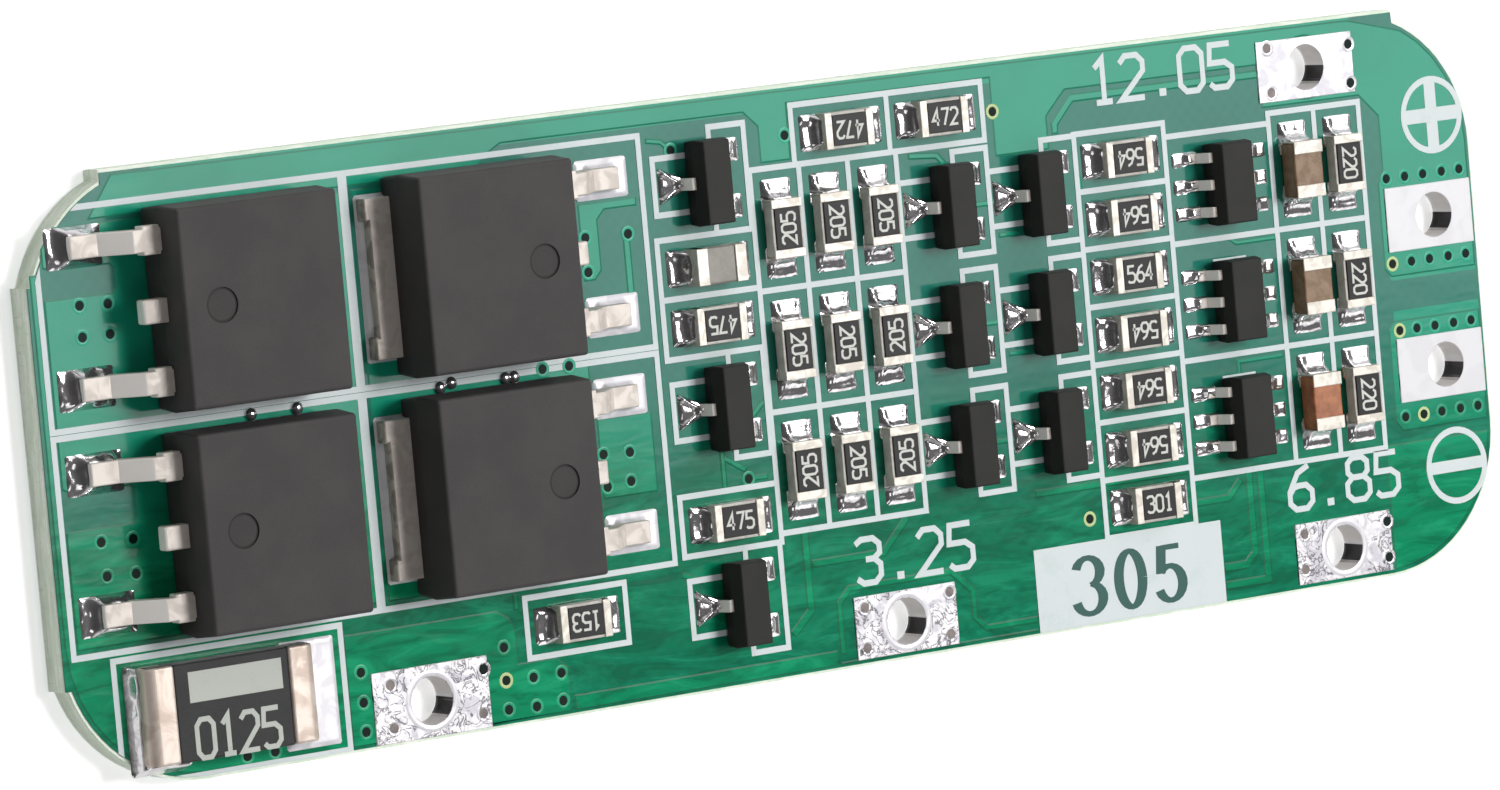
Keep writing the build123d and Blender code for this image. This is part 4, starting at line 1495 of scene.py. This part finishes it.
@dataclass(frozen=True)
class Copper(Assembly):
    """Copper under the mask: pours, tracks and tented holes that show in relief."""

    rise: float = 0.007
    slope: float = 0.06
    pour_layer: float = 0.0002
    track_skin: float = 0.0007
    track_rise: float = 0.0102
    track_layer: float = 0.00012
    opening: float = 1.1
    opening_corners: int = 24
    via_radius: float = 0.17
    via_ring: float = 0.27
    via_base: float = 0.01
    via_rise: float = 0.006
    line_base: float = 0.021
    far_side: float = 9.82
    near_side: float = -9.84
    corner: Point = (24.5, 5.0)
    corner_reach: Point = (4.8, 4.8)
    tracks: tuple[tuple[float, tuple[Point, ...]], ...] = (
        (0.3, ((20.3, 8.32), (12.15, 8.32), (11.35, 7.5), (11.35, 7.15))),
        (0.3, ((-6.58, 5.55), (-6.58, 3.6))),
        (0.22, ((7.7, 5.1), (8.6, 5.1))), (0.22, ((7.7, 1.0), (8.6, 1.0))), (0.22, ((7.7, -3.1), (8.6, -3.1))),
        (0.2, ((8.6, 3.95), (9.5, 3.95))), (0.2, ((8.6, -0.15), (9.5, -0.15))), (0.2, ((8.6, -4.15), (9.5, -4.15))),
        (0.2, ((18.4, 2.78), (18.75, 2.55), (20.5, 2.55))),
        (0.2, ((18.4, -2.1), (18.4, -1.6), (20.4, -1.6))),
        (0.34, ((18.45, -5.3), (18.45, -8.35), (18.05, -8.72), (17.05, -8.72))),
        (0.34, ((18.95, -5.3), (18.95, -9.36), (17.05, -9.36))),
        (0.3, ((15.95, -6.3), (17.5, -6.3), (18.1, -5.7))),
        (0.34, ((-0.48, -5.1), (-0.48, -7.8), (-1.3, -8.55))),
        (0.3, ((-0.3, -6.25), (2.7, -6.25), (3.8, -5.15))),
        (0.26, ((0.68, -9.5), (0.68, -7.75), (1.15, -7.28), (5.4, -7.28), (6.25, -8.05), (6.25, -8.95), (6.7, -9.4),
                (8.9, -9.4))),
        (0.24, ((-3.53, -2.0), (-3.53, -3.4))), (0.22, ((-2.4, -3.05), (-1.75, -3.05))),
        (0.24, ((-2.3, -1.05), (-1.65, -0.5))), (0.24, ((-2.6, -2.75), (-3.5, -2.2))),
        (0.2, ((-5.5, 8.7), (-4.9, 8.6), (-4.6, 8.35))), (0.2, ((-5.75, 3.3), (-5.75, -1.2))),
        (0.24, ((5.1, 7.05), (6.3, 6.95), (6.6, 6.6))), (0.24, ((-12.2, -6.2), (-12.2, -5.65))),
        (0.22, ((12.2, 4.9), (12.2, 5.6))), (0.22, ((12.2, -3.0), (12.2, -2.3))),
        (0.24, ((-5.6, -5.9), (-4.6, -6.3))), (0.3, ((9.2, -5.1), (15.8, -5.1))),
    )
    vias: tuple[Point, ...] = (
        (-27.57, 5.75), (-26.53, 5.7), (-27.57, 4.73), (-26.55, 4.72),
        (-27.6, -1.88), (-26.42, -1.92), (-27.5, -3.0), (-26.43, -3.05),
        (-18.4, -7.4), (-18.4, -8.4), (-18.4, -9.37), (-22.95, -9.5), (-21.9, -9.5),
        (-12.83, -7.35), (-12.85, -9.43),
        (-11.78, -8.5), (-10.68, -8.5), (-11.75, -9.48), (-10.7, -9.43),
        (-8.2, 5.75), (-8.2, 4.6), (-6.5, 5.7),
        (-8.25, -1.5), (-7.2, -1.55), (-8.2, -2.6), (-7.25, -2.52),
        (-4.52, 8.28), (0.12, 8.3), (-2.55, -3.05),
    ) + tuple((x, y) for y in (4.05, 1.02, -1.37, -4.45) for x in (26.43, 27.25, 28.1, 28.9)
              if (x, y) != (26.43, -4.45)) + ((25.6, 4.05), (25.6, -4.45))
    line_vias: tuple[Point, ...] = ((-10.35, 1.62), (-9.3, 1.6))
    bare_vias: tuple[Point, ...] = ((25.57, 1.02), (25.65, -1.37), (26.43, -4.45), (8.78, 8.2), (11.43, -6.25),
                                    (-12.85, -8.45))

    def pours(self) -> list[list[Point]]:
        """Lists the outlines of the pours.

        Returns:
            Outlines in millimetres, the wide ones first.
        """
        across, along = self.corner
        far_right = arc((across, along), self.corner_reach, 62, 0, 6)
        near_right = arc((across, -along), self.corner_reach, -6, -88, 8)
        near_left = arc((-across, -along), self.corner_reach, 180, 270, 8)
        return [
            [(-27.0, 8.45), (-26.0, self.far_side), (24.4, self.far_side), *far_right, (29.3, 0.55), (25.5, 0.55),
             (25.2, 0.85), (25.2, 3.9), (25.45, 4.4), (25.45, 6.3), (24.65, 7.1), (20.35, 7.1), (20.35, 8.62),
             (11.9, 8.62), (11.05, 7.8), (11.05, 6.65), (8.75, 6.65), (8.75, 9.35), (0.3, 9.35), (0.3, 7.45),
             (-0.95, 7.45), (-0.95, 8.7), (-1.5, 9.22), (-11.2, 9.22), (-11.8, 8.9), (-12.3, 8.45)],
            [(-29.3, 6.9), *near_left, (-19.05, self.near_side), (-19.05, -5.35), (-28.95, -5.35), (-28.95, 6.9)],
            [(-28.85, 1.85), (-17.5, 1.85), (-17.5, 8.35), (-28.3, 8.35), (-28.8, 7.7), (-28.8, 7.05), (-27.9, 6.95),
             (-26.35, 6.95), (-26.2, 6.8), (-26.2, 6.2), (-26.35, 6.05), (-28.85, 6.05)],
            [(-28.85, -5.25), (-17.5, -5.25), (-17.5, 1.7), (-28.85, 1.7), (-28.85, -0.05), (-28.2, -0.35),
             (-26.35, -0.2), (-26.2, -0.35), (-26.2, -1.25), (-26.35, -1.4), (-28.85, -1.4)],
            [(-17.1, 1.85), (-8.5, 1.85), (-8.5, 8.35), (-17.1, 8.35)],
            [(-17.1, -5.25), (-8.5, -5.25), (-8.5, 1.7), (-17.1, 1.7)],
            [(-8.4, 4.3), (-7.95, 4.3), (-7.65, 4.6), (-7.65, 6.3), (-7.35, 6.6), (-6.05, 6.6), (-6.05, 6.9),
             (-8.4, 6.9)],
            [(-8.4, -3.0), (-6.2, -3.0), (-6.2, -0.3), (-8.4, -0.3)],
            [(-18.95, self.near_side), (-18.95, -6.1), (-13.0, -6.1), (-12.5, -6.4), (-12.3, -6.9), (-12.3, -7.95),
             (-10.8, -7.95), (-10.35, -8.35), (-10.35, self.near_side)],
            [(-10.25, self.near_side), (-10.25, -9.3), (0.45, -9.3), (0.45, self.near_side)],
            [(0.55, self.near_side), (0.55, -9.72), (8.85, -9.72), (8.85, self.near_side)],
            [(25.15, -4.6), (25.45, -4.95), (29.3, -4.95), (29.3, -1.0), (25.45, -1.0), (25.15, -1.3)],
            [(24.6, -9.78), (24.6, -5.35), (29.28, -5.35), *near_right],
        ]

    def build(self) -> None:
        """Builds the relief."""
        bm = bmesh.new()
        for index, outline in enumerate(self.pours()):
            openings = [circle(hole, self.opening, self.opening_corners) for hole in self.finishes.holes
                        if self.inside(hole, outline)]
            swell(bm, sheet(bm, outline, MASK_TOP + SKIN, openings), self.slope,
                  self.rise + index * self.pour_layer, 1)
        for index, (width, path) in enumerate(self.tracks):
            swell(bm, ribbon(bm, path, width, MASK_TOP + self.track_skin), self.slope,
                  self.track_rise + index * self.track_layer, 1)
        settle(bm, "masked_copper", (self.finishes.copper_mask, self.finishes.rim_mask))
        bm = bmesh.new()
        for places, z, finish in ((self.vias, self.via_base, 0), (self.line_vias, self.line_base, 0),
                                  (self.bare_vias, self.via_base, 2)):
            for x, y in places:
                via(bm, x, y, MASK_TOP + z, self.via_radius, self.via_ring, self.via_rise, finish)
        settle(bm, "tented_holes",
               (self.finishes.ring_mask, self.finishes.pit, self.finishes.bare_ring))

    @staticmethod
    def inside(place: Point, outline: Sequence[Point]) -> bool:
        """Tells whether an outline goes round a place.

        Args:
            place: The place in millimetres.
            outline: Corners in millimetres.

        Returns:
            True where it does.
        """
        x, y = place
        crossings = 0
        for (x_start, y_start), (x_end, y_end) in zip(outline, [*outline[1:], outline[0]]):
            if (y_start > y) != (y_end > y):
                crossings += x < x_start + (x_end - x_start) * (y - y_start) / (y_end - y_start)
        return crossings % 2 == 1


@dataclass(frozen=True)
class Print(Assembly):
    """Signs and figures printed on the board, and the figures on the label field."""

    ink: float = 0.02
    plus_middle: Point = (27.85, 6.1)
    minus_middle: Point = (27.72, -6.45)
    ring_radius: float = 1.27
    ring_stroke: float = 0.22
    plus_stroke: float = 0.5
    minus_stroke: float = 0.43
    pen: DigitPen = DigitPen(stroke=0.21, height=1.5, aspect=0.66, pitch=0.86)
    lines: tuple[tuple[str, Point], ...] = (("12.05", (16.1, 8.78)), ("6.85", (22.6, -6.35)),
                                            ("3.25", (3.95, -6.45)))
    bars: tuple[Point, ...] = ((18.38, 2.0), (18.38, -2.1))
    bar_length: float = 1.45
    bar_stroke: float = 0.15
    label_middle: Point = (12.95, -8.55)
    label_height: float = 1.95
    label_width: float = 1.15
    label_step: float = 1.75
    label_stroke: float = 0.42
    label_thin: float = 0.45
    label_ink: float = 0.004
    label_layer: float = 0.0006
    ring_corners: int = 36
    bar_layer: float = 0.001

    def label_strokes(self) -> list[list[Point]]:
        """Draws the label's three figures in unit boxes, side by side, as round book figures.

        Returns:
            Strokes with x from 0 to 1 in each figure's box, and 2 added for each figure before it.
        """
        three = [arc((0.45, 0.75), (0.45, 0.25), 165, -80, 12), arc((0.45, 0.27), (0.5, 0.27), 80, -170, 14)]
        nought = [arc((2.5, 0.5), (0.44, 0.5), 0, 360, 28)]
        five = [[(4.12, 0.5), (4.2, 1.0)], [(4.18, 0.96), (4.86, 0.96)],
                arc((4.46, 0.31), (0.46, 0.31), 138, -160, 16)]
        return three + nought + five

    def build(self) -> None:
        """Prints everything."""
        bm = bmesh.new()
        for centre, bars, stroke in ((self.plus_middle, 2, self.plus_stroke),
                                     (self.minus_middle, 1, self.minus_stroke)):
            self.sign(bm, centre, bars, stroke)
        for text, centre in self.lines:
            self.pen.write(bm, text, centre, 0, MASK_TOP, self.ink)
        for x, y in self.bars:
            ends = ((x - self.bar_length / 2, y), (x + self.bar_length / 2, y))
            lift(bm, ribbon(bm, ends, self.bar_stroke, MASK_TOP), self.ink)
        settle(bm, "printed_signs_and_figures", (self.finishes.print,))
        bm = bmesh.new()
        start = Vector(self.label_middle) - Vector((self.label_step + self.label_width / 2, self.label_height / 2))
        for order, stroke in enumerate(self.label_strokes()):
            points = []
            for u, v in stroke:
                figure = int(stroke[0][0] // 2)
                across = figure * self.label_step + (u - 2 * figure) * self.label_width
                points.append(tuple(start + Vector((across, v * self.label_height))))
            lift(bm, ribbon(bm, points, self.label_stroke, MASK_TOP + self.ink, False, self.label_thin),
                 self.label_ink + self.label_layer * order)
        settle(bm, "label_figures", (self.finishes.ink,))

    def sign(self, bm: bmesh.types.BMesh, centre: Point, bars: int, stroke: float) -> None:
        """Prints a ring with one or two bars in it.

        Args:
            bm: Mesh that it is added to.
            centre: Middle of the ring.
            bars: One for minus, two for plus.
            stroke: Width of the bars.
        """
        ring = circle(centre, self.ring_radius, self.ring_corners)
        lift(bm, ribbon(bm, ring, self.ring_stroke, MASK_TOP, True), self.ink)
        reach = self.ring_radius - self.ring_stroke / 4
        for bar in range(bars):
            step = Vector((reach, 0)) if bar == 0 else Vector((0, reach))
            ends = (tuple(Vector(centre) - step), tuple(Vector(centre) + step))
            lift(bm, ribbon(bm, ends, stroke, MASK_TOP), self.ink - self.bar_layer * (bar + 1))


@dataclass(frozen=True)
class SoftBox:
    """A rectangular soft lamp, in metres, with its light given as radiance: 1 is a lit white sheet."""

    name: str
    place: tuple[float, float, float]
    width: float
    depth: float
    radiance: float
    level: bool = False

    def hang(self) -> None:
        """Hangs the lamp, level or turned to the board."""
        lamp = bpy.data.lights.new(self.name, "AREA")
        lamp.shape = "RECTANGLE"
        lamp.size = self.width
        lamp.size_y = self.depth
        lamp.energy = self.radiance * math.pi * self.width * self.depth
        holder = bpy.data.objects.new(self.name, lamp)
        bpy.context.scene.collection.objects.link(holder)
        holder.location = self.place
        if not self.level:
            holder.rotation_euler = Vector(self.place).to_track_quat("Z", "Y").to_euler()


@dataclass(frozen=True)
class Studio:
    """Pale floor, white surround, soft lamps and the camera."""

    floor_side: float = 12.0
    floor_drop: float = 0.02
    clear_reach: float = 0.2
    floor_colour: Colour = (0.86, 0.86, 0.86)
    floor_rough: float = 0.9
    floor_shine: float = 0.1
    floor_glow: float = 0.5
    surround: float = 0.25
    ground_light: float = 0.9
    ground_band: Point = (-0.1, -0.02)
    ceiling_shine: float = 0.1
    horizon_shine: float = 0.75
    horizon_band: Point = (0.12, 0.5)
    west_dimming: float = 0.45
    west_band: Point = (-0.7, 0.2)
    lamps: tuple[SoftBox, ...] = (
        SoftBox("overhead_box", (0.30, 0.104, 0.45), 0.34, 0.312, 2.1, level=True),
        SoftBox("key", (0.215, 0.075, 0.44), 0.13, 0.13, 26.0),
        SoftBox("side_box", (0.27, 0.33, 0.24), 0.3, 0.3, 1.7),
        SoftBox("near_box", (0.27, -0.33, 0.2), 0.26, 0.26, 1.1),
        SoftBox("crown_box", (-0.13, -0.2, 0.36), 0.14, 0.2, 1.2),
    )
    camera_place: tuple[float, float, float] = (-0.1614499, 0.0251414, 0.2398166)
    camera_turn: tuple[float, float, float] = (0.0596432912, 0.591336368, 0.111728024)
    focal_pixels: float = 8556.0
    sensor: float = 36.0
    clip_start: float = 0.01

    def build(self) -> None:
        """Sets up floor, world, lamps and camera."""
        self.set_floor()
        self.set_world()
        for lamp in self.lamps:
            lamp.hang()
        self.set_camera()
        bpy.context.scene.view_settings.view_transform = "Standard"

    def set_floor(self) -> None:
        """Lays the floor just under the board, clear from below and to the board's underside."""
        bm = bmesh.new()
        drop = Matrix.Translation((0, 0, -self.floor_drop * MM))
        bmesh.ops.create_grid(bm, x_segments=1, y_segments=1, size=self.floor_side / 2, matrix=drop)
        mesh = bpy.data.meshes.new("floor")
        bm.to_mesh(mesh)
        bm.free()
        floor = bpy.data.objects.new("floor", mesh)
        bpy.context.scene.collection.objects.link(floor)
        material = bpy.data.materials.new("floor")
        material.use_nodes = True
        r = NodeSheet(material.node_tree)
        path = r.node("ShaderNodeLightPath")
        glow = r.mix(path.outputs["Is Camera Ray"], (0, 0, 0), (self.floor_glow,) * 3)
        shader = r.node("ShaderNodeBsdfPrincipled", inputs={
            "Base Color": (*self.floor_colour, 1), "Roughness": self.floor_rough,
            "Specular IOR Level": self.floor_shine,
            "Emission Color": glow, "Emission Strength": 1})
        clear = r.node("ShaderNodeBsdfTransparent")
        below = r.number(r.node("ShaderNodeNewGeometry").outputs["Backfacing"])
        below = below.larger(r.number(path.outputs["Ray Length"]) < self.clear_reach * MM)
        surface = r.node("ShaderNodeMixShader", inputs={0: below, 1: shader.outputs[0], 2: clear.outputs[0]})
        r.node("ShaderNodeOutputMaterial", inputs={"Surface": surface.outputs[0]})
        mesh.materials.append(material)

    def set_world(self) -> None:
        """Makes the surround white to the camera, softer as light, and dark overhead in reflections."""
        world = bpy.data.worlds.new("surround")
        world.use_nodes = True
        bpy.context.scene.world = world
        r = NodeSheet(world.node_tree)
        path = r.node("ShaderNodeLightPath")
        coordinates = r.node("ShaderNodeTexCoord")
        split = r.node("ShaderNodeSeparateXYZ", inputs={0: coordinates.outputs["Generated"]})
        rise = r.number(split.outputs["Z"])
        aside = r.number(split.outputs["X"])
        shine = r.band(rise, *self.horizon_band, self.horizon_shine, self.ceiling_shine)
        shine = shine * r.band(aside, *self.west_band, self.west_dimming, 1)
        glossy = r.number(path.outputs["Is Glossy Ray"])
        level = self.surround + glossy * (shine - self.surround)
        level = level.larger(r.band(rise, *self.ground_band, self.ground_light, 0))
        for seen in ("Is Camera Ray", "Is Transmission Ray"):
            level = level.larger(r.number(path.outputs[seen]))
        background = r.node("ShaderNodeBackground", inputs={"Color": (1, 1, 1, 1), "Strength": level})
        r.node("ShaderNodeOutputWorld", inputs={"Surface": background.outputs[0]})

    def set_camera(self) -> None:
        """Puts the camera where the photograph was taken from."""
        camera = bpy.data.cameras.new("camera")
        camera.sensor_width = self.sensor
        camera.lens = self.focal_pixels * self.sensor / PHOTO_WIDTH
        camera.clip_start = self.clip_start
        holder = bpy.data.objects.new("camera", camera)
        bpy.context.scene.collection.objects.link(holder)
        turn = Vector(self.camera_turn)
        axes = Matrix.Rotation(turn.length, 3, turn.normalized()).transposed()
        holder.matrix_world = Matrix.Translation(self.camera_place) @ axes.to_4x4()
        bpy.context.scene.camera = holder


def main() -> None:
    """Builds the looks of the board, piece by piece."""
    logging.basicConfig(level=logging.INFO, format="%(name)s: %(message)s")
    holes = [(m["pos_m"][0] / MM, m["pos_m"][1] / MM) for m in frame["record"]["mounts"] if m["kind"] == "bore"]
    marks = []
    for node in filter(is_power, frame["nodes"]):
        at = middle(node)
        marks.append((at.x - MARK_SHIFT if node.startswith("charge") else at.x + MARK_SHIFT, at.y))
    finishes = Finishes(holes, sorted(marks))
    dress("circuit_board", Slot.LAMINATE, finishes.laminate)
    dress("solder_mask", Slot.MASK, finishes.bare_mask)
    dress("copper_tracks", Slot.COPPER_MASK, finishes.copper_mask)
    dress("legend", Slot.PRINT, finishes.print)
    Packages(finishes).build()
    Chips(finishes).build()
    Shunt(finishes).build()
    Terminals(finishes).build()
    Soldering(finishes).build()
    Copper(finishes).build()
    Print(finishes).build()
    Studio().build()


if __name__ == "__main__":
    main()
